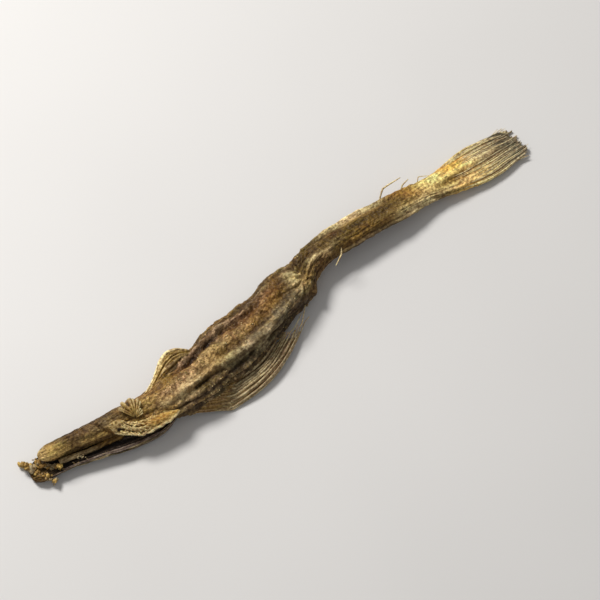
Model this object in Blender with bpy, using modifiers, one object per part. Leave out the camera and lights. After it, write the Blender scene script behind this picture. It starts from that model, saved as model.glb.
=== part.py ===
"""A dried bombay duck, modelled as one solid that lies on its belly.

The fish is a shrivelled skin loft (snout, head, trunk, pinched waist, slender stem, tail web). Fused to it
are the scooped lower jaw with its teeth and its band of crumbs, the lip, the gill frill and flap, the shoulder
leaf, the belly fin, the tail rays and a few stray fibres. +X runs from head to tail, +Y is the side away from
the belly fin, and z = 0 is the surface that the fish lies on. It touches that surface at three points: a crumb
under the chin, the corner of the belly fin and the tip of the outermost tail ray. Sizes are in millimetres,
and MM turns them into metres.
"""

import math

import bmesh
import bpy
import numpy as np

MM = 0.001
FISH_NAME = "dried_fish"

# Driving dimensions, all from the snout tip towards the tail.
SKIN_LENGTH = 246.0
ORIGIN = np.array((121.65, -4.94, 0.0))
NOSE_ROUND = 6.0
TAIL_ROUND = 3.0
SECTION_SQUARENESS = 0.92
DEEPEST_FURROW = 0.45
CLEARANCE = 0.6

# The mesh of the skin: rings along the fish and points round each. The first and last rings stand a little
# inside the poles.
BODY_RINGS = 78
NOSE_RINGS = 5
RING_POINTS = 32
FIRST_RING_TURN = 0.25
LAST_RING_INSET = 0.15

# One row a station: x, centre y, centre z, half width, half height, twist in degrees (far edge up).
STATIONS = np.array((
    (0.0, 2.8, 7.2, 3.4, 3.2, 0.0),
    (8.0, 1.6, 7.4, 4.0, 4.0, 0.0),
    (22.0, -1.4, 7.5, 4.9, 5.0, 4.0),
    (38.0, -4.3, 7.4, 6.0, 6.4, 6.0),
    (50.0, -7.4, 6.9, 7.4, 7.0, 6.0),
    (66.0, -7.3, 6.4, 10.2, 6.8, 5.0),
    (84.0, -4.9, 6.3, 11.8, 6.6, 4.0),
    (105.0, -2.5, 6.3, 10.6, 6.4, 3.0),
    (121.0, 1.6, 6.3, 9.5, 6.2, 2.0),
    (130.0, 3.4, 6.7, 8.9, 5.6, 0.0),
    (138.0, 6.9, 7.0, 6.8, 4.8, -4.0),
    (160.0, 8.0, 7.2, 6.2, 4.3, -6.0),
    (185.0, 6.1, 6.2, 5.8, 3.7, -2.0),
    (198.0, 5.5, 5.0, 5.2, 3.1, 1.0),
    (210.0, 4.6, 3.7, 6.7, 2.3, 2.0),
    (226.0, 3.9, 2.4, 8.8, 1.2, 0.0),
    (240.0, 3.3, 1.8, 8.1, 0.8, -4.0),
    (250.0, 2.6, 1.5, 7.0, 0.6, -6.0),
))

# One row a fold of the skin: its x stations, the angle round the body at each (0 far edge, 90 top, 180 near
# edge, 270 underneath), its height (negative for a furrow) and its half width.
FOLDS = (
    ((68, 90, 110), (48, 50, 46), 1.3, 1.3),
    ((70, 90, 112), (66, 65, 60), -2.6, 1.8),
    ((58, 90, 124), (84, 88, 92), -0.9, 3.0),
    ((54, 72, 97, 124), (106, 108, 122, 150), 1.8, 2.2),
    ((56, 74, 99, 122), (128, 130, 142, 164), -1.3, 1.7),
    ((60, 90, 126), (170, 172, 176), -1.2, 1.8),
    ((56, 95, 130), (-26, -22, -28), -1.8, 2.4),
    ((50, 90, 128), (-4, -2, 4), 1.0, 2.0),
    ((62, 95, 130), (236, 238, 232), -1.6, 2.4),
    ((62, 95, 130), (300, 296, 304), -1.6, 2.4),
    ((144, 170, 198), (30, 28, 36), 1.5, 1.5),
    ((144, 170, 198), (62, 58, 64), -1.0, 1.8),
    ((148, 175, 204), (184, 182, 186), 1.0, 1.1),
    ((148, 175, 200), (152, 150, 154), -0.7, 1.8),
    ((142, 170, 200), (270, 268, 272), -1.5, 2.6),
    ((10, 28, 50), (176, 172, 168), -1.5, 1.5),
    ((12, 28, 46), (72, 78, 70), 0.6, 2.2),
    ((14, 30, 48), (-20, -16, -24), -1.0, 1.8),
    ((204, 226, 248), (92, 90, 88), 0.7, 1.2),
)
FOLD_FADE = 7.0

# The pinched waist, where wrinkles run in from all round and calm down at its middle.
PINCH_X = 131.0
PINCH_ANGLE = 105.0
PINCH_DEPTH = 1.0
PINCH_WRINKLES = 9
PINCH_WRINKLE_SHARE = 0.8
PINCH_REACH = 8.0
PINCH_CALM = 2.5

# A small spur on the near edge of the waist.
SPUR_X = 132.5
SPUR_ANGLE = 178.0
SPUR_HEIGHT = 2.4
SPUR_REACH = 2.4

# Slow swellings that keep the trunk uneven: height, radians a millimetre, turns round the body, start.
SWELLS = ((0.45, 0.21, 2, 0.6), (0.32, 0.37, -3, 2.1), (0.22, 0.55, 1, 1.0))
SWELLS_FROM, SWELLS_TO = (20.0, 60.0), (118.0, 146.0)

# Lower jaw: a shallow scoop. One row a station: x, y of its near rim, y of its far rim, height of its rims.
JAW_STATIONS = np.array((
    (-5.6, -3.2, 1.4, 2.6),
    (-3.4, -5.4, 3.4, 3.0),
    (0.0, -6.8, 4.8, 3.5),
    (8.0, -7.6, 5.0, 4.0),
    (20.0, -11.0, 3.4, 4.5),
    (35.0, -15.4, 1.4, 5.0),
    (48.0, -16.9, -1.6, 5.2),
    (58.6, -13.6, -5.2, 3.2),
))
JAW_RINGS = 17
JAW_RING_POINTS = 16
JAW_FLOOR = 0.4
JAW_HOLLOW_POWER = 6
JAW_UNDER_POWER = 0.6
JAW_SIDE_FULLNESS = 0.9
JAW_CAP_REACH = 0.4

# Teeth stand in the near rim and lean inwards and forwards.
TOOTH_COUNT = 8
TOOTH_FROM, TOOTH_TO = 3.0, 34.0
TOOTH_FOOT = np.array((0.0, 0.35, -0.7))
TOOTH_LEAN = (-0.5, 0.7)
TOOTH_LENGTHS = (1.2, 2.2)
TOOTH_RHYTHM = 2.1
TOOTH_RADII = (0.45, 0.2)

# Lip: a thin bar along the near lower side of the head, from gill to snout (x, y, z, radius).
LIP_BAR = ((56, -11.0, 7.0, 1.2), (46, -12.6, 6.4, 1.4), (34, -9.0, 5.2, 1.3), (20, -5.6, 4.7, 1.1),
           (6, -1.4, 5.0, 0.9))
LIP_POINTS = 10

# A band of crumbs across the front of the jaw, from the far side to the near (x, y), and the crumb that it
# rests on.
CRUMB_BAND = ((-6.4, 6.0), (-4.8, 2.2), (-3.0, -2.6), (0.2, -7.2))
CRUMB_HEIGHTS = (1.5, 3.3)
CRUMB_SCATTER = 0.9
CRUMB_COUNT = 20
CRUMB_RADII = (0.8, 1.8)
CRUMB_STRETCH = (0.7, 1.1)
CRUMB_SEED = 11
CHIN_CRUMB = (-2.6, -1.2, 1.2)
CHIN_CRUMB_RADIUS = 1.2

# Gill frill: a pleated fan over the skin behind the head, round its root (x, degrees round the body).
FRILL_ROOT = (38.4, 148.0)
FRILL_RADIUS = 8.6
FRILL_SPREAD = 36.0
FRILL_PLEATS = 4
FRILL_PLEAT_HEIGHT = 0.5
FRILL_CLEARANCE = 0.3
FRILL_LIFT = 2.2
FRILL_ROWS = 4
FRILL_INNER_SHARE = 0.1
FRILL_SIDE_SHORTER = 0.18
FRILL_SIDE_LOWER = 0.3
FRILL_RIM_WAVE, FRILL_RIM_WAVES = 0.06, 7
FRILL_CURL = 2.0

# Gill flap: a ruffled leaf that hangs from the near side of the head over the rim of the jaw. Its upper and its
# lower edge run from head to tail and meet in a point (x, y, z).
FLAP_UPPER = ((33.0, -7.4, 10.2), (38.0, -8.6, 11.3), (43.0, -10.0, 11.8), (49.0, -12.6, 10.8),
              (57.0, -15.2, 9.6))
FLAP_LOWER = ((33.2, -9.4, 9.0), (37.0, -13.8, 6.2), (42.2, -16.8, 5.6), (48.0, -17.6, 6.4),
              (57.4, -15.6, 9.0))
FLAP_BULGE = 1.3
FLAP_RUFFLES = 4
FLAP_RUFFLE_HEIGHT = 0.5
FLAP_RUFFLE_LAG = 1.5
FLAP_ROWS = 6
FLAP_OUTWARDS = np.array((0.0, -0.7, 0.7))

# Shoulder leaf: a fold of skin that stands out from the far edge, its root along an angle round the body.
LEAF_FROM, LEAF_TO = 48.0, 80.0
LEAF_ROOT_ANGLE = 38.0
LEAF_ROOT_TUCK = (1.6, 0.9)
LEAF_REACH = 7.4
LEAF_SKEW = 1.4
LEAF_RISE = 1.2
LEAF_CURL = 0.75 * math.pi
LEAF_WAVE = 0.35
LEAF_WAVES_ALONG, LEAF_WAVES_OUT = 9, 2
LEAF_COLUMNS, LEAF_ROWS = 13, 4

# Belly fin: the knuckle that its rays start from, and their tips.
FIN_SKIN_FROM, FIN_SKIN_TO = 53.0, 84.0
FIN_ROOT_ANGLE = 185.0
FIN_ROOT_TUCK = 1.8
FIN_KNUCKLE_OUTER = np.array((75.0, -24.6, 0.58))
FIN_KNUCKLE_INNER = np.array((85.0, -15.2, 3.4))
FIN_TIP_OUTER = np.array((121.5, -11.6, 2.6))
FIN_TIP_INNER = np.array((106.0, -11.6, 3.6))
FIN_BOW = 4.8
FIN_INNER_STRAIGHTER = 0.6
FIN_ARCH = 0.9
FIN_PLEATS = 8
FIN_PLEAT_DEPTH = 0.45
FIN_PLEATS_FROM, FIN_PLEATS_FULL = -0.2, 0.3
FIN_ROWS = 13

SHEET_THICKNESS = 0.9

# Tail rays, lying along the tail web and standing past its end. The outermost one comes down to the surface.
RAY_COUNT = 13
RAY_SPAN = 0.94
RAY_ROOT_X = 203.0
RAY_TIP_X = 250.0
RAY_UNEVENNESS = 2.4
RAY_RHYTHM = 2.4
RAY_OUTER_SHORTER = 2.0
RAY_DROOP, RAY_DROOP_POWER = 0.8, 4
RAY_FLATTER_OUTSIDE = 0.9
RAY_RADII = (0.28, 0.55, 0.55, 0.52, 0.47, 0.36)

# Stray fibres: start, middle and end of each.
FIBRES = (
    ((152, 4.6, 11.2), (149, 0.4, 11.8), (145, -1.2, 8.6)),
    ((179, 10.0, 9.2), (185, 14.6, 9.0), (193, 11.0, 7.6)),
    ((112, -12.6, 2.8), (119, -10.4, 5.0), (126, -7.4, 5.6)),
)
FIBRE_RADIUS = 0.45
FIBRE_POINTS = 8


def clear_scene():
    for thing in list(bpy.data.objects):
        bpy.data.objects.remove(thing, do_unlink=True)


def make_material(name, colour, roughness):
    material = bpy.data.materials.new(name)
    material.use_nodes = True
    shader = material.node_tree.nodes["Principled BSDF"]
    shader.inputs["Base Color"].default_value = (*colour, 1.0)
    shader.inputs["Roughness"].default_value = roughness
    shader.inputs["Metallic"].default_value = 0.0
    return material


def smooth_curve(x, knots, values):
    """Cubic Hermite curve through the values at the knots, with slopes from their neighbours."""
    knots, values = np.asarray(knots, float), np.asarray(values, float)
    x = np.clip(x, knots[0], knots[-1])
    slopes = np.gradient(values, knots)
    i = np.clip(np.searchsorted(knots, x, side="right") - 1, 0, len(knots) - 2)
    step = knots[i + 1] - knots[i]
    t = (x - knots[i]) / step
    rise = values[i + 1] - values[i]
    pull = t * (1 - t) * ((1 - t) * (slopes[i] * step - rise) - t * (slopes[i + 1] * step - rise))
    return values[i] + t * rise + pull


def curve_through(points, count):
    """Rows of numbers evenly spread along a smooth curve through the given rows."""
    points = np.asarray(points, float)
    at, knots = np.linspace(0, len(points) - 1, count), np.arange(len(points))
    return np.stack([smooth_curve(at, knots, column) for column in points.T], axis=-1)


def ease(x, start, end):
    """0 before start, 1 after end, smooth between."""
    t = np.clip((x - start) / (end - start), 0.0, 1.0)
    return t * t * (3 - 2 * t)


def turn_between(angle, middle_degrees):
    """Radians from a direction in degrees to an angle, from minus half a turn to half a turn."""
    return np.mod(angle - np.radians(middle_degrees) + math.pi, 2 * math.pi) - math.pi


def body_at(x):
    """Centre y, centre z, half width, half height and twist (radians) of the body at x."""
    rows = [smooth_curve(x, STATIONS[:, 0], STATIONS[:, column]) for column in range(1, 6)]
    nose = np.sqrt(np.clip(1 - (1 - np.minimum(x, NOSE_ROUND) / NOSE_ROUND) ** 2, 0, 1))
    past = np.maximum(x - (SKIN_LENGTH - TAIL_ROUND), 0) / TAIL_ROUND
    closing = nose * np.sqrt(np.clip(1 - past**2, 0, 1))
    return rows[0], rows[1], rows[2] * closing, rows[3] * closing, np.radians(rows[4])


def mean_radius(x):
    half_width, half_height = body_at(x)[2:4]
    return np.sqrt((half_width**2 + half_height**2) / 2)


def fold_height(x, angle, across):
    """Sum of the folds: each is a Gaussian ridge or furrow round its own angle, fading at its ends."""
    total = np.zeros(np.broadcast(x, angle).shape)
    for xs, degrees, height, width in FOLDS:
        apart = turn_between(angle, smooth_curve(x, xs, degrees))
        start = ease(x, xs[0] - FOLD_FADE, xs[0] + FOLD_FADE)
        end = 1 - ease(x, xs[-1] - FOLD_FADE, xs[-1] + FOLD_FADE)
        total += height * start * end * np.exp(-((apart * across / width) ** 2))
    return total


def pinch_height(x, angle, across):
    """Wrinkles that fan out from the pinch, strongest a few millimetres from its middle."""
    dx, dy = x - PINCH_X, turn_between(angle, PINCH_ANGLE) * across
    reach = np.hypot(dx, dy)
    fan = PINCH_WRINKLE_SHARE * np.cos(PINCH_WRINKLES * np.arctan2(dy, dx))
    near = np.exp(-((reach / PINCH_REACH) ** 2))
    return PINCH_DEPTH * near * (fan * (1 - np.exp(-((reach / PINCH_CALM) ** 2))) - 1)


def uneven_height(x, angle, across):
    """Slow sine swellings over the whole skin, and the spur at the waist."""
    slow = sum(
        height * np.sin(turns * x + round_turns * angle + start)
        for height, turns, round_turns, start in SWELLS
    )
    away = (x - SPUR_X) ** 2 + (turn_between(angle, SPUR_ANGLE) * across) ** 2
    spur = SPUR_HEIGHT * np.exp(-away / SPUR_REACH**2)
    return slow * ease(x, *SWELLS_FROM) * (1 - ease(x, *SWELLS_TO)) + spur


def skin_point(x, angle, lift=0.0):
    """A point of the skin at x and at an angle round the body: a squared ellipse moved out by the folds.
    A lift moves the point further out, for what lies over the skin."""
    centre_y, centre_z, half_width, half_height, twist = body_at(x)
    cosine, sine = np.cos(angle), np.sin(angle)
    side = half_width * np.sign(cosine) * np.abs(cosine) ** SECTION_SQUARENESS
    up = half_height * np.sign(sine) * np.abs(sine) ** SECTION_SQUARENESS
    across = mean_radius(x)
    out_side, out_up = cosine * half_height, sine * half_width
    length = np.maximum(np.hypot(out_side, out_up), 1e-9)
    swell = fold_height(x, angle, across) + pinch_height(x, angle, across) + uneven_height(x, angle, across)
    swell = np.maximum(swell, -DEEPEST_FURROW * half_height) + lift
    side, up = side + swell * out_side / length, up + swell * out_up / length
    y = centre_y + side * np.cos(twist) - up * np.sin(twist)
    z = centre_z + side * np.sin(twist) + up * np.cos(twist)
    return np.stack(np.broadcast_arrays(x, y, np.maximum(z, CLEARANCE)), axis=-1)


def placed(points):
    """Millimetres along the fish to metres from the origin, the middle of the fish's footprint."""
    return (np.asarray(points, float) - ORIGIN) * MM


def mesh_object(name, points, faces, material, collection):
    mesh = bpy.data.meshes.new(name)
    mesh.from_pydata(placed(points).tolist(), [], faces)
    mesh.validate()
    mesh.materials.append(material)
    mesh.shade_smooth()
    made = bpy.data.objects.new(name, mesh)
    collection.objects.link(made)
    return made


def loft_faces(rings, points):
    """Quads between the rings, and a fan to a pole at each end. The poles come after the ring points."""
    faces = []
    for ring in range(rings - 1):
        for point in range(points):
            after = (point + 1) % points
            low, high = ring * points, (ring + 1) * points
            faces.append((low + point, low + after, high + after, high + point))
    first, last, base = rings * points, rings * points + 1, (rings - 1) * points
    for point in range(points):
        after = (point + 1) % points
        faces.append((first, after, point))
        faces.append((last, base + point, base + after))
    return faces


def make_body(material, collection):
    nose = NOSE_ROUND * (1 - np.cos(np.linspace(FIRST_RING_TURN, math.pi / 2, NOSE_RINGS)))
    back = np.linspace(NOSE_ROUND, SKIN_LENGTH - LAST_RING_INSET, BODY_RINGS - NOSE_RINGS + 1)[1:]
    x = np.concatenate((nose, back))
    angle = np.arange(RING_POINTS) * 2 * math.pi / RING_POINTS
    points = skin_point(x[:, None], angle[None, :]).reshape(-1, 3)
    poles = [(at, *np.array(body_at(np.array(at)))[:2]) for at in (0.0, SKIN_LENGTH)]
    points = np.concatenate((points, poles))
    return mesh_object("skin", points, loft_faces(len(x), RING_POINTS), material, collection)


def make_sheet(name, grid, material, collection):
    """A thin leaf: an open grid of points, given its thickness by Solidify."""
    rows, columns = grid.shape[:2]
    faces = []
    for row in range(rows - 1):
        for column in range(columns - 1):
            corner = row * columns + column
            faces.append((corner, corner + 1, corner + columns + 1))
            faces.append((corner, corner + columns + 1, corner + columns))
    leaf = mesh_object(name, grid.reshape(-1, 3), faces, material, collection)
    wall = leaf.modifiers.new("wall", "SOLIDIFY")
    wall.thickness = SHEET_THICKNESS * MM
    wall.offset = 0.0
    return leaf


def make_tube(name, route, radii, material, collection, resolution=0):
    """A tapering tube: a curve with a round bevel and filled caps, made a mesh with its caps welded on."""
    curve = bpy.data.curves.new(name, "CURVE")
    curve.dimensions = "3D"
    curve.bevel_depth = MM
    curve.bevel_resolution = resolution
    curve.use_fill_caps = True
    spline = curve.splines.new("POLY")
    spline.points.add(len(route) - 1)
    for point, place, radius in zip(spline.points, route, radii):
        point.co = (*placed(place), 1.0)
        point.radius = radius
    guide = bpy.data.objects.new(name + "_route", curve)
    collection.objects.link(guide)
    bpy.context.view_layer.update()
    graph = bpy.context.evaluated_depsgraph_get()
    mesh = bpy.data.meshes.new_from_object(guide.evaluated_get(graph))
    shape = bmesh.new()
    shape.from_mesh(mesh)
    bmesh.ops.remove_doubles(shape, verts=shape.verts, dist=1e-6)
    bmesh.ops.recalc_face_normals(shape, faces=shape.faces)
    shape.to_mesh(mesh)
    shape.free()
    mesh.materials.clear()
    mesh.materials.append(material)
    tube = bpy.data.objects.new(name, mesh)
    tube.matrix_world = guide.matrix_world
    collection.objects.link(tube)
    bpy.data.objects.remove(guide, do_unlink=True)
    return tube


def make_lump(name, centre, radii, material, collection, turn=0.0, lowest=CLEARANCE):
    """A stretched icosphere turned about its upright axis, flattened where it would go below its lowest."""
    shape = bmesh.new()
    bmesh.ops.create_icosphere(shape, subdivisions=1, radius=1.0)
    x, y, z = (np.array([vert.co for vert in shape.verts]) * radii).T
    faces = [[vert.index for vert in face.verts] for face in shape.faces]
    shape.free()
    cosine, sine = math.cos(turn), math.sin(turn)
    places = np.stack((x * cosine - y * sine, x * sine + y * cosine, z), axis=-1) + centre
    places[:, 2] = np.maximum(places[:, 2], lowest)
    return mesh_object(name, places, faces, material, collection)


def jaw_point(x, angle):
    """The scoop: flat underneath, its rims at angles 0 and 180 degrees, hollowed between them."""
    near, far, rim = (smooth_curve(x, JAW_STATIONS[:, 0], JAW_STATIONS[:, column]) for column in (1, 2, 3))
    cosine, sine = np.cos(angle), np.sin(angle)
    hollow = rim * (JAW_FLOOR + (1 - JAW_FLOOR) * np.abs(cosine) ** JAW_HOLLOW_POWER)
    under = np.maximum(rim * (1 - np.abs(sine) ** JAW_UNDER_POWER), CLEARANCE)
    fullness = JAW_SIDE_FULLNESS + (1 - JAW_SIDE_FULLNESS) * np.abs(cosine)
    y = (near + far) / 2 + (far - near) / 2 * cosine * fullness
    return np.stack(np.broadcast_arrays(x, y, np.where(sine > 0, hollow, under)), axis=-1)


def make_jaw(material, collection):
    x = np.linspace(JAW_STATIONS[0, 0], JAW_STATIONS[-1, 0], JAW_RINGS)
    angle = np.arange(JAW_RING_POINTS) * 2 * math.pi / JAW_RING_POINTS
    rings = jaw_point(x[:, None], angle[None, :])
    front = rings[:1].mean(axis=1) - (JAW_CAP_REACH, 0, 0)
    points = np.concatenate((rings.reshape(-1, 3), front, rings[-1:].mean(axis=1)))
    mesh_object("lower_jaw", points, loft_faces(JAW_RINGS, JAW_RING_POINTS), material, collection)
    lip = curve_through(LIP_BAR, LIP_POINTS)
    make_tube("lip", lip[:, :3], lip[:, 3], material, collection, resolution=1)


def make_teeth(material, collection):
    shortest, longest = TOOTH_LENGTHS
    for number, at in enumerate(np.linspace(TOOTH_FROM, TOOTH_TO, TOOTH_COUNT)):
        foot = jaw_point(np.array(at), np.array(math.pi)) + TOOTH_FOOT
        length = shortest + (longest - shortest) * (1 + math.cos(TOOTH_RHYTHM * number)) / 2
        tip = foot + (*TOOTH_LEAN, length)
        make_tube(f"tooth_{number}", (foot, tip), TOOTH_RADII, material, collection)


def make_crumbs(material, collection):
    rng = np.random.default_rng(CRUMB_SEED)
    for number, (x, y) in enumerate(curve_through(CRUMB_BAND, CRUMB_COUNT)):
        shift = rng.normal(0.0, CRUMB_SCATTER, 2)
        centre = (x + abs(shift[0]), y + shift[1], rng.uniform(*CRUMB_HEIGHTS))
        radii = rng.uniform(*CRUMB_RADII) * rng.uniform(*CRUMB_STRETCH, 3)
        make_lump(f"crumb_{number}", centre, radii, material, collection, turn=rng.uniform(0, math.pi))
    make_lump("chin_crumb", CHIN_CRUMB, np.full(3, CHIN_CRUMB_RADIUS), material, collection, lowest=0.0)


def make_frill(material, collection):
    """A fan of pleats round its root on the skin, lifting towards its rim."""
    reach = np.linspace(FRILL_INNER_SHARE, 1.0, FRILL_ROWS)[:, None]
    turn = np.linspace(-1.0, 1.0, 4 * FRILL_PLEATS + 1)[None, :]
    spread = np.radians(FRILL_SPREAD * turn)
    rim = 1 - FRILL_SIDE_SHORTER * turn**2 + FRILL_RIM_WAVE * np.sin(FRILL_RIM_WAVES * turn)
    radius = FRILL_RADIUS * reach * rim
    root_x, root_angle = FRILL_ROOT[0], math.radians(FRILL_ROOT[1])
    pleat = FRILL_PLEAT_HEIGHT * reach * np.cos(math.pi * FRILL_PLEATS * turn)
    curl = FRILL_LIFT * np.sin(FRILL_CURL * reach) * (1 - FRILL_SIDE_LOWER * turn**2)
    lift = FRILL_CLEARANCE + curl + pleat
    angle = root_angle - radius * np.cos(spread) / mean_radius(root_x)
    make_sheet("gill_frill", skin_point(root_x + radius * np.sin(spread), angle, lift), material, collection)


def make_flap(material, collection):
    """A sheet between its two edges, bulging outwards, its lower edge ruffled."""
    along = np.linspace(0.0, 1.0, 3 * FLAP_RUFFLES + 1)[:, None, None]
    down = np.linspace(0.0, 1.0, FLAP_ROWS)[None, :, None]
    upper, lower = (curve_through(edge, along.size)[:, None, :] for edge in (FLAP_UPPER, FLAP_LOWER))
    ruffles = np.sin(2 * math.pi * FLAP_RUFFLES * along + FLAP_RUFFLE_LAG * down)
    bulge = FLAP_BULGE * np.sin(math.pi * down) + FLAP_RUFFLE_HEIGHT * down**2 * ruffles
    grid = upper + (lower - upper) * down + bulge * np.sin(math.pi * along) * FLAP_OUTWARDS
    make_sheet("gill_flap", grid, material, collection)


def make_leaf(material, collection):
    """A fold of skin whose root runs along the far top side and whose free edge stands out and up."""
    along = np.linspace(0.0, 1.0, LEAF_COLUMNS)[:, None]
    out = np.linspace(0.0, 1.0, LEAF_ROWS)[None, :]
    x = LEAF_FROM + (LEAF_TO - LEAF_FROM) * along
    root = skin_point(x, np.full_like(x, math.radians(LEAF_ROOT_ANGLE)))
    side_tuck, down_tuck = LEAF_ROOT_TUCK
    bell = np.sin(math.pi * along**LEAF_SKEW)
    y = root[..., 1] - side_tuck + (LEAF_REACH * bell + side_tuck) * out
    wave = LEAF_WAVE * np.sin(LEAF_WAVES_ALONG * along + LEAF_WAVES_OUT * out) * out
    z = root[..., 2] - down_tuck + LEAF_RISE * np.sin(LEAF_CURL * out) * bell + wave
    make_sheet("shoulder_leaf", np.stack(np.broadcast_arrays(x, y, z), axis=-1), material, collection)


def fin_point(along, inner):
    """The belly fin: along -0.5..0 is skin from the body out to the knuckle, 0..1 runs down the rays.
    inner is 0 at the outer ray and 1 at the one next to the body."""
    knuckle = FIN_KNUCKLE_OUTER + inner[..., None] * (FIN_KNUCKLE_INNER - FIN_KNUCKLE_OUTER)
    tip = FIN_TIP_OUTER + inner[..., None] * (FIN_TIP_INNER - FIN_TIP_OUTER)
    root_x = FIN_SKIN_FROM + (FIN_SKIN_TO - FIN_SKIN_FROM) * inner
    root = skin_point(root_x, np.full_like(root_x, math.radians(FIN_ROOT_ANGLE)))
    root = root + (0.0, FIN_ROOT_TUCK, 0.0)
    up_skin, down_ray = np.clip(-2 * along, 0, 1), np.clip(along, 0, 1)
    place = knuckle + up_skin[..., None] * (root - knuckle) + down_ray[..., None] * (tip - knuckle)
    bow = np.sin(math.pi * down_ray) * (1 - FIN_INNER_STRAIGHTER * inner)
    place[..., 1] -= FIN_BOW * bow
    pleats = np.cos(2 * math.pi * FIN_PLEATS * inner) * ease(along, FIN_PLEATS_FROM, FIN_PLEATS_FULL)
    place[..., 2] += FIN_ARCH * bow - FIN_PLEAT_DEPTH * pleats
    return place


def make_belly_fin(material, collection):
    along = np.linspace(-0.5, 1.0, FIN_ROWS)[:, None]
    inner = np.linspace(0.0, 1.0, 2 * FIN_PLEATS + 1)[None, :]
    along, inner = np.broadcast_arrays(along, inner)
    make_sheet("belly_fin", fin_point(along, inner), material, collection)


def make_tail_rays(material, collection):
    steps = np.linspace(0.0, 1.0, len(RAY_RADII))
    for number in range(RAY_COUNT):
        across = 2 * number / (RAY_COUNT - 1) - 1
        shorter = RAY_UNEVENNESS * (1 + math.sin(RAY_RHYTHM * number)) / 2 + RAY_OUTER_SHORTER * across**2
        x = RAY_ROOT_X + (RAY_TIP_X - shorter - RAY_ROOT_X) * steps
        centre_y, centre_z, half_width, half_height, twist = body_at(np.minimum(x, SKIN_LENGTH - TAIL_ROUND))
        side = RAY_SPAN * across * half_width
        up = half_height * np.sqrt(1 - RAY_FLATTER_OUTSIDE * across**2)
        y = centre_y + side * np.cos(twist) - up * np.sin(twist)
        droop = RAY_DROOP * steps**RAY_DROOP_POWER
        z = centre_z + side * np.sin(twist) + up * np.cos(twist) - droop
        route = np.stack((x, y, np.maximum(z, RAY_RADII)), axis=-1)
        make_tube(f"tail_ray_{number}", route, RAY_RADII, material, collection)


def make_fibres(material, collection):
    for number, ends in enumerate(FIBRES):
        route = curve_through(ends, FIBRE_POINTS)
        make_tube(f"fibre_{number}", route, np.full(FIBRE_POINTS, FIBRE_RADIUS), material, collection)


def fuse(body, pieces):
    """One union of the body with all the pieces, after which the pieces are removed."""
    join = body.modifiers.new("fuse", "BOOLEAN")
    join.operation = "UNION"
    join.operand_type = "COLLECTION"
    join.collection = pieces
    join.solver = "MANIFOLD"
    bpy.context.view_layer.update()
    graph = bpy.context.evaluated_depsgraph_get()
    mesh = bpy.data.meshes.new_from_object(body.evaluated_get(graph))
    body.modifiers.clear()
    body.data = mesh
    for piece in list(pieces.objects):
        bpy.data.objects.remove(piece, do_unlink=True)
    bpy.data.collections.remove(pieces)
    keep_outer_shell(mesh)
    mesh.shade_smooth()
    body.name = FISH_NAME


def keep_outer_shell(mesh):
    """Fills what the union sealed and drops loose scraps: only the largest closed shell stays."""
    shape = bmesh.new()
    shape.from_mesh(mesh)
    bmesh.ops.triangulate(shape, faces=shape.faces)
    waiting, shells = set(shape.faces), []
    while waiting:
        shell, front = set(), [waiting.pop()]
        while front:
            face = front.pop()
            shell.add(face)
            for edge in face.edges:
                beside = waiting.intersection(edge.link_faces)
                waiting -= beside
                front.extend(beside)
        shells.append(shell)
    largest = max(shells, key=len)
    loose = [face for shell in shells if shell is not largest for face in shell]
    bmesh.ops.delete(shape, geom=loose, context="FACES")
    shape.to_mesh(mesh)
    shape.free()


def main():
    clear_scene()
    home = bpy.data.collections.new("dried_bombay_duck")
    pieces = bpy.data.collections.new("fused_pieces")
    bpy.context.scene.collection.children.link(home)
    bpy.context.scene.collection.children.link(pieces)
    skin = make_material("dried_skin", (0.24, 0.15, 0.06), 0.45)
    dark = make_material("dark_jaw", (0.08, 0.05, 0.035), 0.5)
    pale = make_material("pale_fin", (0.55, 0.42, 0.24), 0.5)
    body = make_body(skin, home)
    make_jaw(dark, pieces)
    make_teeth(pale, pieces)
    make_crumbs(skin, pieces)
    make_frill(pale, pieces)
    make_flap(pale, pieces)
    make_leaf(pale, pieces)
    make_belly_fin(pale, pieces)
    make_tail_rays(pale, pieces)
    make_fibres(pale, pieces)
    fuse(body, pieces)


main()
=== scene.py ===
# %% [markdown]
# # A dried bombay duck
# The object is one whole small fish, its jaw agape, salted and dried until its skin shrivelled. This lesson
# builds its looks: the wrinkled skin, the ragged gill flap, the stiff fins and the colours of dried fish.
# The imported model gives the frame, so that what is made here lies exactly where the solid fish lies.

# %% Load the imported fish
import math

import bmesh
import bpy
import numpy as np
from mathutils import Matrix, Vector


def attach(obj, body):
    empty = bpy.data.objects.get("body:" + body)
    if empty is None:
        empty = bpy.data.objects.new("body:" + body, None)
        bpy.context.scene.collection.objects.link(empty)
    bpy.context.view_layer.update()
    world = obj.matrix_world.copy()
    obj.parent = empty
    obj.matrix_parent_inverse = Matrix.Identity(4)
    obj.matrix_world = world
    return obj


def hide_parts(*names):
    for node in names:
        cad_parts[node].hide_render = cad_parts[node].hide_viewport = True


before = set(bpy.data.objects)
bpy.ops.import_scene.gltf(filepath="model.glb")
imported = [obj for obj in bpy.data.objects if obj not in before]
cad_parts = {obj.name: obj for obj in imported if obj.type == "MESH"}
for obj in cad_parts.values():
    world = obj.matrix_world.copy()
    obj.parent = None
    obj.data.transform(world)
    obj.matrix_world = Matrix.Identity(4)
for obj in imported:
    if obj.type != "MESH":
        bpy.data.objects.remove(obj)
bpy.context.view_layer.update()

# %% [markdown]
# Every form on the fish is worked out in millimetres along it, from the snout (x = 0) to the tail (x =
# 250), and moved to the frame at the very end. y runs across the fish and z is the height above the table.
# Three small functions do most of the work: one draws a smooth line through a few values, one fades from 0
# to 1, and one is the bell by which a ridge or a stain dies away to both sides.

# %% Curves and fades
MM = 0.001
# The place on the fish that becomes the frame's origin
ORIGIN = np.array((121.65, -4.94, 0.0))


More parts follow.
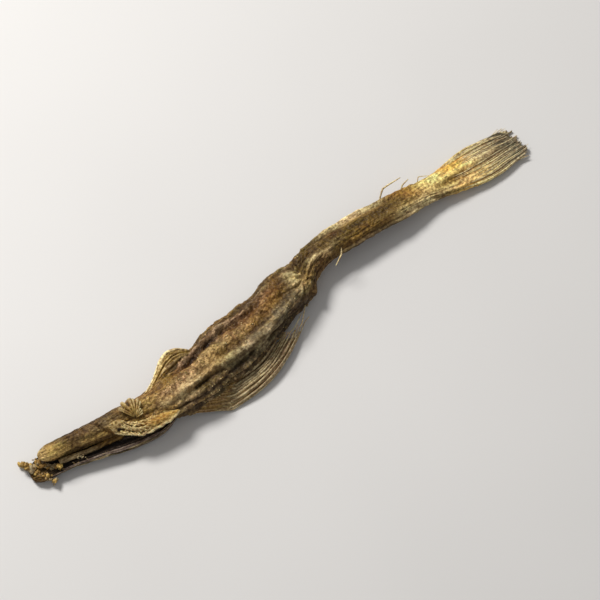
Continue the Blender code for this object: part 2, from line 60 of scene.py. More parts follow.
def smooth_curve(x, knots, values):
    """Cubic Hermite curve: each stretch leaves and reaches its knots with the slope of their neighbours."""
    knots, values = np.asarray(knots, float), np.asarray(values, float)
    x = np.clip(x, knots[0], knots[-1])
    slopes = np.gradient(values, knots)
    i = np.clip(np.searchsorted(knots, x, side="right") - 1, 0, len(knots) - 2)
    step = knots[i + 1] - knots[i]
    t = (x - knots[i]) / step
    rise = values[i + 1] - values[i]
    pull = t * (1 - t) * ((1 - t) * (slopes[i] * step - rise) - t * (slopes[i + 1] * step - rise))
    return values[i] + t * rise + pull


def curve_through(points, count):
    """Rows evenly spread along the smooth curve through the given rows."""
    points = np.asarray(points, float)
    at, knots = np.linspace(0, len(points) - 1, count), np.arange(len(points))
    return np.stack([smooth_curve(at, knots, column) for column in points.T], axis=-1)


def ease(x, start, end):
    """3t^2 - 2t^3 with t from 0 at start to 1 at end: 0 before, 1 after, smooth between."""
    t = np.clip((x - start) / (end - start), 0.0, 1.0)
    return t * t * (3 - 2 * t)


def turn_between(angle, middle_degrees):
    """The angle measured from a direction, brought into minus half a turn to half a turn."""
    return np.mod(angle - np.radians(middle_degrees) + math.pi, 2 * math.pi) - math.pi


def bell(t):
    """exp(-t^2): 1 at 0, about a third at 1, next to nothing past 2."""
    return np.exp(-(t**2))


def stacked(*values):
    """Values brought to one shape and set side by side as the coordinates of places."""
    return np.stack(np.broadcast_arrays(*values), axis=-1)


print("fade at 2, 5 and 8 of 10:", ease(np.array((2, 5, 8)), 0, 10).round(2))
print("bell at 1:", bell(1.0).round(2))

# %% [markdown]
# Dried skin is never regular. All its unevenness comes from one noise function: random values sit at the
# corners of a lattice of cubes, and each point blends the eight corners round it. Stretching the lattice
# along the fish gives long striations, and folding the noise about its middle gives the sharp crests that
# dry skin has.

# %% Noise and wrinkles
TABLE = 256


def noise(places, seed):
    """Value noise: random numbers from -1 to 1 at whole-number corners, eased between the eight nearest."""
    rng = np.random.default_rng(seed)
    order, values = rng.permutation(TABLE), rng.uniform(-1, 1, TABLE)
    cell = np.floor(places).astype(int)
    t = places - cell
    t = t * t * (3 - 2 * t)
    total = np.zeros(places.shape[:-1])
    for corner in np.ndindex(2, 2, 2):
        at = (cell + corner) % TABLE
        key = order[(order[(order[at[..., 0]] + at[..., 1]) % TABLE] + at[..., 2]) % TABLE]
        total += values[key] * np.prod(np.where(corner, t, 1 - t), axis=-1)
    return total


def noise_at(seed, *values):
    """The noise at the place that has the given values as its coordinates."""
    return noise(stacked(*values), seed)


def creased(value):
    """1 - 2|n| less its mean, 0.45: sharp crests where the noise n passes zero, round hollows elsewhere."""
    return 1 - 2 * np.abs(value) - 0.45


def net(places, seed):
    """Two distances to points scattered one to a square: to the nearest, and how much further the next is."""
    rng = np.random.default_rng(seed)
    order, spots = rng.permutation(TABLE), rng.uniform(0.1, 0.9, (TABLE, 2))
    cell = np.floor(places).astype(int)
    nearest = np.full((2, *places.shape[:-1]), 9.0)
    for step in np.ndindex(3, 3):
        at = cell + step - 1
        spot = at + spots[order[(order[at[..., 0] % TABLE] + at[..., 1]) % TABLE]]
        apart = np.linalg.norm(places - spot, axis=-1)
        nearest = np.sort(np.concatenate((nearest, apart[None])), axis=0)[:2]
    return nearest[0], nearest[1] - nearest[0]


print("noise sample:", noise(np.array([[0.5, 0.5, 0.5], [3.2, 1.1, 7.7]]), 1).round(3))

# %% [markdown]
# The mesh helpers take whole arrays, because a fish has far too many points to set one by one. A loft is a
# grid of rings closed by a point at each end, a leaf is an open grid with two faces and a border, and a
# strand is a thin tube round a path. Each returns its points, its four-sided faces and its three-sided
# faces, so that many of them can be put together as one mesh.

# %% Lofts, leaves and strands
# How far the end points of a strand stand beyond its last circles
TIP = 0.1


def grid_quads(index):
    """Four-sided faces between the neighbours of a grid of point numbers."""
    return np.stack((index[:-1, :-1], index[:-1, 1:], index[1:, 1:], index[1:, :-1]), axis=-1).reshape(-1, 4)


def all_round(count):
    """Angles evenly spread once round a section, without the last, which would fall on the first."""
    return np.arange(count) * 2 * math.pi / count


def unit(vectors):
    """Vectors divided by their lengths."""
    return vectors / np.maximum(np.linalg.norm(vectors, axis=-1, keepdims=True), 1e-9)


def loft(rings, first, last):
    """Rings of points (rings, round, 3) and the two end points, as a closed shell."""
    rows, columns = rings.shape[:2]
    index = np.arange(rows * columns).reshape(rows, columns)
    quads = grid_quads(np.concatenate((index, index[:, :1]), axis=1))
    after, pole = np.roll(np.arange(columns), -1), rows * columns
    base = (rows - 1) * columns
    fans = np.concatenate((
        np.stack((np.full(columns, pole), after, np.arange(columns)), axis=-1),
        np.stack((np.full(columns, pole + 1), base + np.arange(columns), base + after), axis=-1),
    ))
    return np.concatenate((rings.reshape(-1, 3), [first], [last])), quads, fans


def with_ends(values):
    """Colours or places of a loft's rings, with the first and last ones again for its two end points."""
    values = values.reshape(-1, 3)
    return np.concatenate((values, values[:1], values[-1:]))


def leaf(grid, thickness):
    """The grid moved half its wall to each side, along the cross product of its directions, and bordered."""
    normals = unit(np.cross(np.gradient(grid, axis=0), np.gradient(grid, axis=1)))
    away = normals * (np.broadcast_to(thickness, grid.shape[:2]) / 2)[..., None]
    rows, columns = grid.shape[:2]
    index = np.arange(rows * columns).reshape(rows, columns)
    rim = np.concatenate((index[0], index[1:, -1], index[-1, -2::-1], index[-2:0:-1, 0]))
    border = np.stack((rim, np.roll(rim, -1), np.roll(rim, -1) + index.size, rim + index.size), axis=-1)
    quads = np.concatenate((grid_quads(index), grid_quads(index + index.size)[:, ::-1], border[:, ::-1]))
    points = np.concatenate(((grid + away).reshape(-1, 3), (grid - away).reshape(-1, 3)))
    return points, quads, np.empty((0, 3), int)


def strand(route, radius, sides):
    """A tube: circles side * cos t + lift * sin t set square to the path, with a point beyond each end."""
    along = unit(np.gradient(route, axis=0))
    side = unit(np.cross(along, (0.0, 0.0, 1.0)) + (0.0, 1e-6, 0.0))
    lift, turn = np.cross(side, along), all_round(sides)[:, None]
    circle = side[:, None] * np.cos(turn) + lift[:, None] * np.sin(turn)
    rings = route[:, None] + np.broadcast_to(radius, len(route))[:, None, None] * circle
    return loft(rings, route[0] - along[0] * TIP, route[-1] + along[-1] * TIP)


sample = strand(curve_through(((0, 0, 0), (1, 0, 0), (2, 1, 0)), 5), 0.2, 6)
print("a strand of 5 circles:", [len(part) for part in sample], "points, quads and triangles")

# %% [markdown]
# Colours are named as a painter would name them and kept in one palette, so that a place on the fish can be
# said in words. They are written as on a screen and turned into light values. Each mesh carries its painted
# colour at its points, and the materials add the finest grain on top.

# %% The palette
PALETTE = {
    "cream": (246, 228, 190),
    "butter": (255, 238, 172),
    "straw": (204, 174, 112),
    "gold": (200, 156, 80),
    "amber": (252, 198, 104),
    "tan": (164, 134, 84),
    "hide": (138, 106, 56),
    "bark": (116, 90, 48),
    "olive": (110, 88, 32),
    "loam": (92, 70, 34),
    "moss": (80, 66, 26),
    "rust": (112, 68, 32),
    "wine": (80, 50, 42),
    "umber": (48, 32, 18),
    "grey": (100, 91, 75),
    "ash": (172, 158, 136),
    "rose": (214, 182, 160),
    "linen": (222, 208, 192),
    "plum": (104, 92, 92),
    "dark": (38, 28, 22),
}


def ink(name):
    """A palette colour as linear light: ((c + 0.055) / 1.055) ^ 2.4."""
    return ((np.array(PALETTE[name]) / 255 + 0.055) / 1.055) ** 2.4


def mixed(under, over, share):
    """under * (1 - share) + over * share, for each point."""
    share = np.clip(share, 0, 1)[..., None]
    return under * (1 - share) + over * share


def painted(places, base, *layers):
    """The base colour at every place, with each (colour, share) of the layers mixed over it in turn."""
    tones = np.broadcast_to(base, (*places.shape[:-1], 3))
    for colour, share in layers:
        tones = mixed(tones, colour, share)
    return tones


def tones_along(x, rows):
    """Colours along the fish: (x, palette name) rows, blended smoothly from one to the next."""
    knots, inks = np.array([row[0] for row in rows]), np.array([ink(row[1]) for row in rows])
    return np.stack([smooth_curve(x, knots, inks[:, channel]) for channel in range(3)], axis=-1)


print(len(PALETTE), "colours, from", PALETTE["dark"], "to", PALETTE["cream"])

# %% [markdown]
# One material recipe serves every piece, because it is all dried fish: skin, fin and gill differ in colour,
# in gloss and in how coarse the grain is. The painted colour is read from the mesh and shaded by a grain of
# fine noise, small beads, a slow cloud and stripes. The stripes follow a second attribute, which holds the
# place on the piece along and across its fibres. The same grain gives the bump and the gloss of salt-dried
# skin, because on the real skin the high grains are also the pale and shiny ones.

# %% The dried material
def socket_noise(nodes, links, vector, scale, detail, roughness):
    """The value, about 0.5, of a noise whose cells are 1 / scale wide, in the units of its places."""
    texture = nodes.new("ShaderNodeTexNoise")
    texture.inputs["Scale"].default_value = scale
    texture.inputs["Detail"].default_value = detail
    texture.inputs["Roughness"].default_value = roughness
    links.new(vector, texture.inputs["Vector"])
    return texture.outputs["Fac"]


def socket_beads(nodes, links, vector, scale):
    """The distance to the middle of the nearest scattered cell: 0 on each bead, high between them."""
    texture = nodes.new("ShaderNodeTexVoronoi")
    texture.inputs["Scale"].default_value = scale
    links.new(vector, texture.inputs["Vector"])
    return texture.outputs["Distance"]


def weighted_sum(nodes, links, terms, start=0.0):
    """start + value * weight for each (value, weight) in turn."""
    total = start
    for value, weight in terms:
        node = nodes.new("ShaderNodeMath")
        node.operation = "MULTIPLY_ADD"
        links.new(value, node.inputs[0])
        node.inputs[1].default_value = weight
        if total is start:
            node.inputs[2].default_value = start
        else:
            links.new(total, node.inputs[2])
        total = node.outputs[0]
    return total


print("helpers for the grain:", [helper.__name__ for helper in (socket_noise, socket_beads, weighted_sum)])

# %% [markdown]
# Five finishes come from that one recipe. The gill and the fin let a little light through, the jaw has
# stronger stripes, and the crumbs are dull. A finish painted as a picture would be easier to steer, but
# this one is sharp at any distance and fits pieces of any shape.

# %% The five finishes
# What the painted colour is multiplied by in the low grains and on the high ones
LOW_TINT, HIGH_TINT = (1.0, 0.82, 0.58), (1.0, 0.98, 0.76)
# Shares of noise and stripes together, cloud and beads in the grain, and the value added to bring it to
# about 0.5
GRAIN_SHARE, CLOUD_SHARE, BEAD_SHARE, GRAIN_START = 0.66, 0.16, -0.10, 0.14
LOW_GRAIN, HIGH_GRAIN = 0.40, 0.60
# Depth of the bump in metres, and how many times finer its own noise is than the grain
BUMP_DEPTH, FINER = 0.0008, 1.9
# How much rougher the low grains are and how much smoother the high ones
LOW_ROUGHER, HIGH_SMOOTHER = 0.24, 0.04
# How far light runs under the skin in metres, by colour, the share of that which is used, and the plain
# shine
SCATTER, SCATTER_SCALE, SHINE = (0.003, 0.0015, 0.0008), 0.4, 0.22


def dried_material(name, rough=0.34, grain=780.0, bump=0.8, glow=0.05, dull=0.52, bright=1.45, lines=0.24):
    """Painted colour, browner in low grains and brighter on high ones; bump and gloss from the grain."""
    material = bpy.data.materials.new(name)
    material.use_nodes = True
    nodes, links = material.node_tree.nodes, material.node_tree.links
    shader = nodes["Principled BSDF"]
    tone = nodes.new("ShaderNodeAttribute")
    tone.attribute_name = "tone"
    fibre = nodes.new("ShaderNodeAttribute")
    fibre.attribute_name = "fibre"
    place = nodes.new("ShaderNodeTexCoord").outputs["Object"]

    speckle = socket_noise(nodes, links, place, grain, 2.0, 0.6)
    beads = socket_beads(nodes, links, place, grain)
    cloud = socket_noise(nodes, links, place, grain / 6, 2.0, 0.5)
    stripes = socket_noise(nodes, links, fibre.outputs["Vector"], 1.0, 2.0, 0.6)
    terms = (speckle, GRAIN_SHARE - lines), (stripes, lines), (cloud, CLOUD_SHARE), (beads, BEAD_SHARE)
    grains = weighted_sum(nodes, links, terms, GRAIN_START)

    share = nodes.new("ShaderNodeMapRange")
    share.interpolation_type = "SMOOTHSTEP"
    share.inputs["From Min"].default_value, share.inputs["From Max"].default_value = LOW_GRAIN, HIGH_GRAIN
    links.new(grains, share.inputs["Value"])
    shades = []
    for strength, tint in ((dull, LOW_TINT), (bright, HIGH_TINT)):
        shade = nodes.new("ShaderNodeVectorMath")
        shade.operation = "MULTIPLY"
        links.new(tone.outputs["Color"], shade.inputs[0])
        shade.inputs[1].default_value = [strength * channel for channel in tint]
        shades.append(shade.outputs[0])
    blend = nodes.new("ShaderNodeMix")
    blend.data_type = "RGBA"
    links.new(share.outputs[0], blend.inputs["Factor"])
    links.new(shades[0], blend.inputs["A"])
    links.new(shades[1], blend.inputs["B"])
    links.new(blend.outputs["Result"], shader.inputs["Base Color"])

    sheen = nodes.new("ShaderNodeMapRange")
    sheen.inputs["To Min"].default_value = rough + LOW_ROUGHER
    sheen.inputs["To Max"].default_value = rough - HIGH_SMOOTHER
    links.new(share.outputs[0], sheen.inputs["Value"])
    links.new(sheen.outputs[0], shader.inputs["Roughness"])

    fine = socket_noise(nodes, links, place, grain * FINER, 3.0, 0.6)
    height = weighted_sum(nodes, links, ((grains, 1.3), (beads, -0.5), (fine, 0.6)))
    relief = nodes.new("ShaderNodeBump")
    relief.inputs["Strength"].default_value = bump
    relief.inputs["Distance"].default_value = BUMP_DEPTH
    links.new(height, relief.inputs["Height"])
    links.new(relief.outputs["Normal"], shader.inputs["Normal"])

    shader.inputs["Subsurface Weight"].default_value = glow
    shader.inputs["Subsurface Radius"].default_value = SCATTER
    shader.inputs["Subsurface Scale"].default_value = SCATTER_SCALE
    shader.inputs["Specular IOR Level"].default_value = SHINE
    return material


SKIN = dried_material("dried_skin_finish")
DARK_SKIN = dried_material("jaw_finish", rough=0.36, lines=0.4)
GILL = dried_material("gill_finish", rough=0.38, bump=0.4, glow=0.14, dull=0.80, bright=1.5, lines=0.2)
FIN = dried_material(
    "fin_finish", rough=0.40, grain=950.0, bump=0.45, glow=0.10, dull=0.55, bright=1.4, lines=0.3)
CRUMB = dried_material("crumb_finish", rough=0.5, grain=950.0, dull=0.72, bright=1.2)
print("materials:", [m.name for m in (SKIN, DARK_SKIN, GILL, FIN, CRUMB)])

# %% [markdown]
# Every piece reaches the scene in the same way, so one function does it. It joins the shells, turns their
# faces outwards, stores the painted colour and the fibre places at the points, sets the piece on the body it
# rides on and hides the solid fish. Writing whole arrays into the mesh is many times faster than adding
# points one at a time.

# %% Put a piece on the fish
def outward(points, quads, triangles):
    """Faces turned over when the volume they enclose, summed from the corners, comes out negative."""
    halves = np.concatenate((quads[:, (0, 1, 2)], quads[:, (0, 2, 3)], triangles))
    a, b, c = (points[halves[:, corner]] for corner in range(3))
    if np.einsum("ij,ij->", a, np.cross(b, c)) < 0:
        return quads[:, ::-1], triangles[:, ::-1]
    return quads, triangles


def joined(shells):
    """Several shells as one: their points in a row, their faces renumbered."""
    points, quads, triangles, start = [], [], [], 0
    for shell_points, shell_quads, shell_triangles in shells:
        shell_quads, shell_triangles = outward(shell_points, shell_quads, shell_triangles)
        points.append(shell_points)
        quads.append(shell_quads + start)
        triangles.append(shell_triangles + start)
        start += len(shell_points)
    return np.concatenate(points), np.concatenate(quads), np.concatenate(triangles)


def put_on(name, shells, tones, fibres, material):
    """Makes one mesh of the shells, with its painted colour and its fibre places, riding on the fish."""
    points, quads, triangles = joined(shells)
    mesh = bpy.data.meshes.new(name)
    mesh.vertices.add(len(points))
    mesh.vertices.foreach_set("co", ((points - ORIGIN) * MM).astype(np.float32).ravel())
    corners = np.concatenate((quads.ravel(), triangles.ravel())).astype(np.int32)
    sizes = np.concatenate((np.full(len(quads), 4), np.full(len(triangles), 3)))
    mesh.loops.add(len(corners))
    mesh.loops.foreach_set("vertex_index", corners)
    mesh.polygons.add(len(sizes))
    mesh.polygons.foreach_set("loop_start", (np.cumsum(sizes) - sizes).astype(np.int32))
    mesh.update(calc_edges=True)
    mesh.validate()
    tone = mesh.color_attributes.new("tone", "FLOAT_COLOR", "POINT")
    colours = np.concatenate((np.clip(tones, 0.002, 0.95), np.ones((len(points), 1))), axis=1)
    tone.data.foreach_set("color", colours.astype(np.float32).ravel())
    fibre = mesh.attributes.new("fibre", "FLOAT_VECTOR", "POINT")
    fibre.data.foreach_set("vector", fibres.astype(np.float32).ravel())
    mesh.materials.append(material)
    mesh.shade_smooth()
    piece = bpy.data.objects.new(name, mesh)
    bpy.context.scene.collection.objects.link(piece)
    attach(piece, "root")
    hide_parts("dried_fish")
    print(f"{name}: {len(points)} points, {len(quads) * 2 + len(triangles)} triangles")


def put_leaves_on(name, leaves, material, underside=0.6):
    """One piece of leaves, each a grid, its wall, its colours and its places; the lower faces get painted
    shade.
    """
    shells = [leaf(grid, wall) for grid, wall, _, _ in leaves]
    # Painted shade: the lower faces take their colours times underside
    tones = [tone.reshape(-1, 3) * shade for _, _, tone, _ in leaves for shade in (1, underside)]
    fibres = [place.reshape(-1, 3) for _, _, _, place in leaves for _ in range(2)]
    put_on(name, shells, np.concatenate(tones), np.concatenate(fibres), material)


# %% [markdown]
# The skin is one loft from snout to tail. Eighteen stations give the centre, width, height and twist of the
# fish: a narrow head, a broad trunk, the pinched waist, the slender stem and the flat tail web. A loft keeps
# the skin in one piece, as it is on the fish, and its two directions (along x, and the angle round the body)
# are the ones in which dry skin wrinkles.

# %% The form under the skin
SKIN_LENGTH, NOSE_ROUND, TAIL_ROUND = 246.0, 6.0, 3.0
SECTION_SQUARENESS = 0.92
# The deepest a furrow may cut into the half height, the least height over the table, and the half height
# under which the relief dies away
DEEPEST_FURROW, CLEARANCE, THIN_END = 0.45, 0.6, 0.6
# x, centre y, centre z, half width, half height, twist in degrees (far edge up)
STATIONS = np.array((
    (0.0, 2.6, 7.2, 3.2, 3.0, 0.0),
    (8.0, 1.0, 7.4, 3.6, 3.8, 0.0),
    (22.0, -1.9, 7.5, 4.4, 4.6, 4.0),
    (38.0, -4.9, 7.4, 5.5, 6.0, 6.0),
    (50.0, -7.4, 6.9, 7.4, 7.0, 6.0),
    (66.0, -7.3, 6.4, 10.2, 6.8, 5.0),
    (84.0, -4.9, 6.3, 11.8, 6.6, 4.0),
    (105.0, -2.5, 6.3, 10.6, 6.4, 3.0),
    (121.0, 1.6, 6.3, 9.5, 6.2, 2.0),
    (130.0, 3.4, 6.7, 8.9, 5.6, 0.0),
    (138.0, 6.9, 7.0, 6.8, 4.8, -4.0),
    (160.0, 8.0, 7.2, 6.2, 4.3, -6.0),
    (185.0, 6.1, 6.2, 5.8, 3.7, -2.0),
    (198.0, 5.5, 5.0, 5.2, 3.1, 1.0),
    (210.0, 4.3, 3.7, 7.0, 2.3, 2.0),
    (226.0, 3.6, 2.4, 9.2, 1.2, 0.0),
    (240.0, 3.3, 1.8, 8.1, 0.8, -4.0),
    (250.0, 2.6, 1.5, 7.0, 0.6, -6.0),
))
WEB_FROM, WEB_FULL, WEB_THINNER = 212.0, 230.0, 0.5


def body_at(x):
    """Centre y, centre z, half width, half height and twist of the fish at x, closing round at both ends."""
    rows = [smooth_curve(x, STATIONS[:, 0], STATIONS[:, column]) for column in range(1, 6)]
    nose = np.sqrt(np.clip(1 - (1 - np.minimum(x, NOSE_ROUND) / NOSE_ROUND) ** 2, 0, 1))
    past = np.maximum(x - (SKIN_LENGTH - TAIL_ROUND), 0) / TAIL_ROUND
    closing = nose * np.sqrt(np.clip(1 - past**2, 0, 1))
    return rows[0], rows[1], rows[2] * closing, rows[3] * closing, np.radians(rows[4])


def mean_radius(x):
    """Root of the mean square of half width and half height: turns an angle into a distance round."""
    half_width, half_height = body_at(x)[2:4]
    return np.sqrt((half_width**2 + half_height**2) / 2)


trunk = body_at(np.array(84.0))
print("half width and half height of the trunk at 84 mm:", *(part.round(1) for part in trunk[2:4]))

# %% [markdown]
# The folds that give this fish its character are listed, because they are what one recognises: the
# beaded ridge with the dark furrow beside it, the pale ridge that wanders down the trunk, the rolled rim of
# the stem. Each is a Gaussian ridge or furrow round its own line along the body.

# %% The folds
# x stations, angle round the body there (0 far edge, 90 top, 180 near edge), height, half width, in mm and
# degrees
FOLDS = (
    ((68, 80, 90, 108), (45, 45, 49, 51), 1.3, 1.1),
    ((68, 82, 94, 110), (57, 59, 61, 64), -1.7, 2.2),
    ((58, 90, 124), (94, 98, 92), -0.9, 2.6),
    ((54, 66, 76, 85, 93, 108, 126), (108, 102, 102, 113, 121, 126, 124), 1.8, 1.8),
    ((58, 70, 82, 90, 100, 112), (120, 118, 126, 139, 146, 148), -1.3, 1.7),
    ((60, 90, 126), (170, 172, 176), -1.2, 1.8),
    ((56, 95, 130), (-26, -22, -28), -1.8, 2.4),
    ((50, 90, 128), (-4, -2, 4), 1.0, 2.0),
    ((62, 95, 130), (236, 238, 232), -1.6, 2.4),
    ((62, 95, 130), (300, 296, 304), -1.6, 2.4),
    ((146, 170, 198), (38, 38, 41), 1.1, 1.2),
    ((144, 170, 198), (58, 57, 62), -0.8, 1.6),
    ((148, 175, 204), (177, 176, 178), 1.0, 0.9),
    ((148, 175, 200), (160, 158, 160), -0.4, 1.4),
    ((136, 141, 146, 151), (96, 113, 127, 108), 1.0, 1.2),
    ((142, 170, 200), (270, 268, 272), -1.5, 2.6),
    ((10, 28, 50), (176, 172, 168), -1.5, 1.5),
    ((12, 28, 46), (72, 78, 70), 0.6, 2.2),
    ((14, 30, 48), (-20, -16, -24), -1.0, 1.8),
    ((204, 226, 248), (92, 90, 88), 0.7, 1.2),
)
FINE_FOLDS = (
    ((52, 64, 80, 98), (86, 82, 82, 86), 0.8, 1.0),
    ((54, 68, 82, 92, 108), (143, 144, 141, 138, 142), -0.6, 0.9),
    ((48, 60, 80), (70, 71, 69), 0.5, 0.8),
    ((60, 80, 104), (96, 98, 104), -0.5, 0.7),
    ((64, 84, 118), (114, 122, 138), -0.6, 0.6),
    ((74, 96, 120), (74, 76, 80), 0.6, 0.7),
    ((88, 104, 124), (104, 112, 124), 0.5, 0.8),
    ((58, 80, 116), (154, 158, 166), 0.6, 0.7),
    ((66, 92, 120), (184, 186, 188), 0.5, 0.8),
    ((20, 30, 46), (118, 122, 116), -0.35, 0.7),
    ((6, 18, 30), (144, 146, 142), 0.3, 0.8),
    ((150, 172, 196), (88, 90, 86), -0.3, 0.9),
    ((146, 168, 190), (120, 118, 122), 0.35, 0.8),
    ((202, 214, 238), (80, 79, 82), 0.55, 0.9),
    ((204, 216, 238), (126, 116, 110), 0.50, 0.8),
    ((206, 218, 238), (144, 134, 128), 0.45, 0.8),
    ((202, 214, 238), (57, 58, 62), 0.45, 0.8),
    ((204, 214, 238), (97, 96, 96), -0.40, 0.7),
)
FOLD_FADE = 7.0
# How strongly the two ridges of these heights are beaded along their length; all other folds only a little
BEADED, PLAIN_BEADS = {1.3: 0.6, 1.8: 0.45}, 0.12
BEAD_LENGTH, BEAD_WIDTH = 1.7, 3.0


def faded_ends(x, xs):
    """1 between the first and the last station, easing to 0 over the fade's length about each of them."""
    first, last = xs[0], xs[-1]
    return ease(x, first - FOLD_FADE, first + FOLD_FADE) * (1 - ease(x, last - FOLD_FADE, last + FOLD_FADE))


def beside(x, angle, across, xs, degrees):
    """How far a place lies round the body from the smooth line through the stations, in millimetres."""
    return turn_between(angle, smooth_curve(x, xs, degrees)) * across


def fold_height(x, angle, across, folds):
    """Sum over the folds of height * exp(-(distance / half width)^2), faded at both ends, beaded along it."""
    total = np.zeros(np.broadcast(x, angle).shape)
    for number, (xs, degrees, height, width) in enumerate(folds):
        apart = beside(x, angle, across, xs, degrees)
        uneven = noise_at(40 + number, x / BEAD_LENGTH, number * 7.3, apart / BEAD_WIDTH)
        beads = 1 + BEADED.get(height, PLAIN_BEADS) * uneven
        total += height * beads * faded_ends(x, xs) * bell(apart / width)
    return total


print(len(FOLDS), "folds of the solid and", len(FINE_FOLDS), "finer ones")

# %% [markdown]
# The waist is where the fish was nipped while it dried: wrinkles run in from all round like the cloth under
# a button. A cosine of the bearing round the pinch gives the fan, and noise makes its lines unequal. A
# slanting crease marks the end of the skull, and a spur of skin stands out at the near side of the waist.
# The head is smoother than the trunk, so all fine relief is scaled by a curve along the fish.

# %% The relief of the skin
PINCH_X, PINCH_ANGLE, PINCH_REACH, PINCH_CALM = 131.0, 105.0, 8.0, 2.5
PINCH_DEPTH, PINCH_SHARE = 1.0, 0.8
SPUR_X, SPUR_ANGLE, SPUR_HEIGHT, SPUR_REACH = 132.5, 178.0, 2.4, 2.4
# Slow swellings of the trunk: height, turn per millimetre along, waves round the body, start
SWELLS = ((0.45, 0.21, 2, 0.6), (0.32, 0.37, -3, 2.1), (0.22, 0.55, 1, 1.0))
CREASE_X, CREASE_SLANT, CREASE_WAVER, CREASE_WIDTH, CREASE_DEPTH, CREASE_TOP = 24.5, 5.1, 0.6, 0.7, 0.75, 125
# The swelling of the snout and the dip behind it: x, half length, height
SNOUT_WAVES, SNOUT_TOP = ((6.5, 3.0, 0.35), (14.0, 2.6, -0.60)), 110
NOISE_RADIUS = 8.0
# How strong the fine relief is along the fish
ROUGH_X = (0, 10, 30, 46, 60, 120, 134, 146, 165, 198, 210, 222, 250)
ROUGH_SHARE = (0.4, 0.4, 0.5, 0.85, 1.0, 1.0, 1.15, 0.70, 0.45, 0.6, 0.60, 0.4, 0.25)
# length along, width across, height, seed and whether the noise is creased
GRAIN = (
    (26.0, 3.4, 0.50, 3, True),
    (11.0, 1.5, 0.32, 4, True),
    (4.0, 1.0, 0.20, 5, True),
    (2.6, 2.0, 0.24, 6, False),
    (1.4, 1.2, 0.30, 7, False),
    (0.9, 0.8, 0.20, 8, False),
)


def wrapped(x, angle, length, width):
    """A place in the noise that closes round the body: (x / length, r cos / width, r sin / width)."""
    return stacked(x / length, NOISE_RADIUS * np.cos(angle) / width, NOISE_RADIUS * np.sin(angle) / width)


def wandering(x, angle):
    """The angle, swung to and fro by slow noise, so that no striation is straight."""
    slow, quick = noise(wrapped(x, angle, 22.0, 9.0), 21), noise(wrapped(x, angle, 7.0, 5.0), 22)
    return angle + 0.30 * slow + 0.12 * quick


def fine_relief(x, angle):
    """Sum of the grain layers: striations, crinkles and pimples, each from -1 to 1 times its height."""
    swung = wandering(x, angle)
    total = np.zeros(np.broadcast(x, angle).shape)
    for length, width, height, seed, folded in GRAIN:
        value = noise(wrapped(x, swung, length, width), seed)
        total += height * (creased(value) if folded else value)
    return total * smooth_curve(x, ROUGH_X, ROUGH_SHARE)


def pinch_height(x, angle, across):
    """Fan of wrinkles: cos(bearing * count), strongest a few millimetres out, sunk at its middle."""
    dx, dy = x - PINCH_X, turn_between(angle, PINCH_ANGLE) * across
    reach, bearing = np.hypot(dx, dy), np.arctan2(dy, dx)
    uneven = noise_at(31, dx / 4, dy / 4, 0.0)
    fan = np.cos(9 * bearing + 1.5 * uneven) + 0.5 * np.cos(17 * bearing + 2.0 * uneven)
    calm = 1 - bell(reach / PINCH_CALM)
    return PINCH_DEPTH * bell(reach / PINCH_REACH) * (PINCH_SHARE * fan * calm - 1)


def crease_height(x, angle):
    """The waves of the snout along its top, less the bell-shaped crease that slants back across the head."""
    slant = CREASE_SLANT * (np.degrees(angle) - 60) / 120
    line = CREASE_X + slant + CREASE_WAVER * noise(wrapped(x, angle, 6.0, 3.0), 33)
    top = np.clip(2.2 * np.cos(turn_between(angle, CREASE_TOP)) - 0.6, 0, 1)
    snout = sum(height * bell((x - at) / reach) for at, reach, height in SNOUT_WAVES)
    crease = CREASE_DEPTH * bell((x - line) / CREASE_WIDTH) * top
    return snout * np.clip(np.cos(turn_between(angle, SNOUT_TOP)), 0, 1) - crease


print("crease on top of the head at:", CREASE_X, "mm")

# %% [markdown]
# Now the parts are added up: large folds, which also shape the solid, and fine relief, which only the looks
# have. Each place on the skin is found on a squared ellipse and moved out by that height. Working with
# heights, instead of moving points freely, keeps the skin from ever folding through itself.

# %% A place on the skin
def skin_heights(x, angle):
    """Large folds and fine relief at a place on the skin, in millimetres."""
    across = mean_radius(x)
    away = (x - SPUR_X) ** 2 + (turn_between(angle, SPUR_ANGLE) * across) ** 2
    slow = sum(h * np.sin(t * x + n * angle + s) for h, t, n, s in SWELLS)
    slow = slow * ease(x, 20, 60) * (1 - ease(x, 118, 146))
    large = fold_height(x, angle, across, FOLDS) + pinch_height(x, angle, across) + slow
    large = large + SPUR_HEIGHT * np.exp(-away / SPUR_REACH**2)
    fine = fold_height(x, angle, across, FINE_FOLDS) + crease_height(x, angle) + fine_relief(x, angle)
    return large, fine


def skin_point(x, angle, heights, lift=0.0):
    """A squared ellipse at x, moved out along its own normal by the heights (large, fine) and the lift."""
    centre_y, centre_z, half_width, half_height, twist = body_at(x)
    large, fine = heights
    cosine, sine = np.cos(angle), np.sin(angle)
    side = half_width * np.sign(cosine) * np.abs(cosine) ** SECTION_SQUARENESS
    up = half_height * np.sign(sine) * np.abs(sine) ** SECTION_SQUARENESS
    out_side, out_up = cosine * half_height, sine * half_width
    length = np.maximum(np.hypot(out_side, out_up), 1e-9)
    closing = np.clip(half_height / THIN_END, 0, 1)
    swell = (np.maximum(large, -DEEPEST_FURROW * half_height) + fine) * closing + lift
    side, up = side + swell * out_side / length, up + swell * out_up / length
    up = up * (1 - WEB_THINNER * ease(x, WEB_FROM, WEB_FULL))
    y = centre_y + side * np.cos(twist) - up * np.sin(twist)
    z = centre_z + side * np.sin(twist) + up * np.cos(twist)
    return stacked(x, y, np.maximum(z, CLEARANCE))


samples = skin_heights(*np.meshgrid(np.linspace(50, 130, 60), all_round(60), indexing="ij"))
print("relief of the trunk, large and fine:", *(f"{h.min():.1f} to {h.max():.1f}" for h in samples))
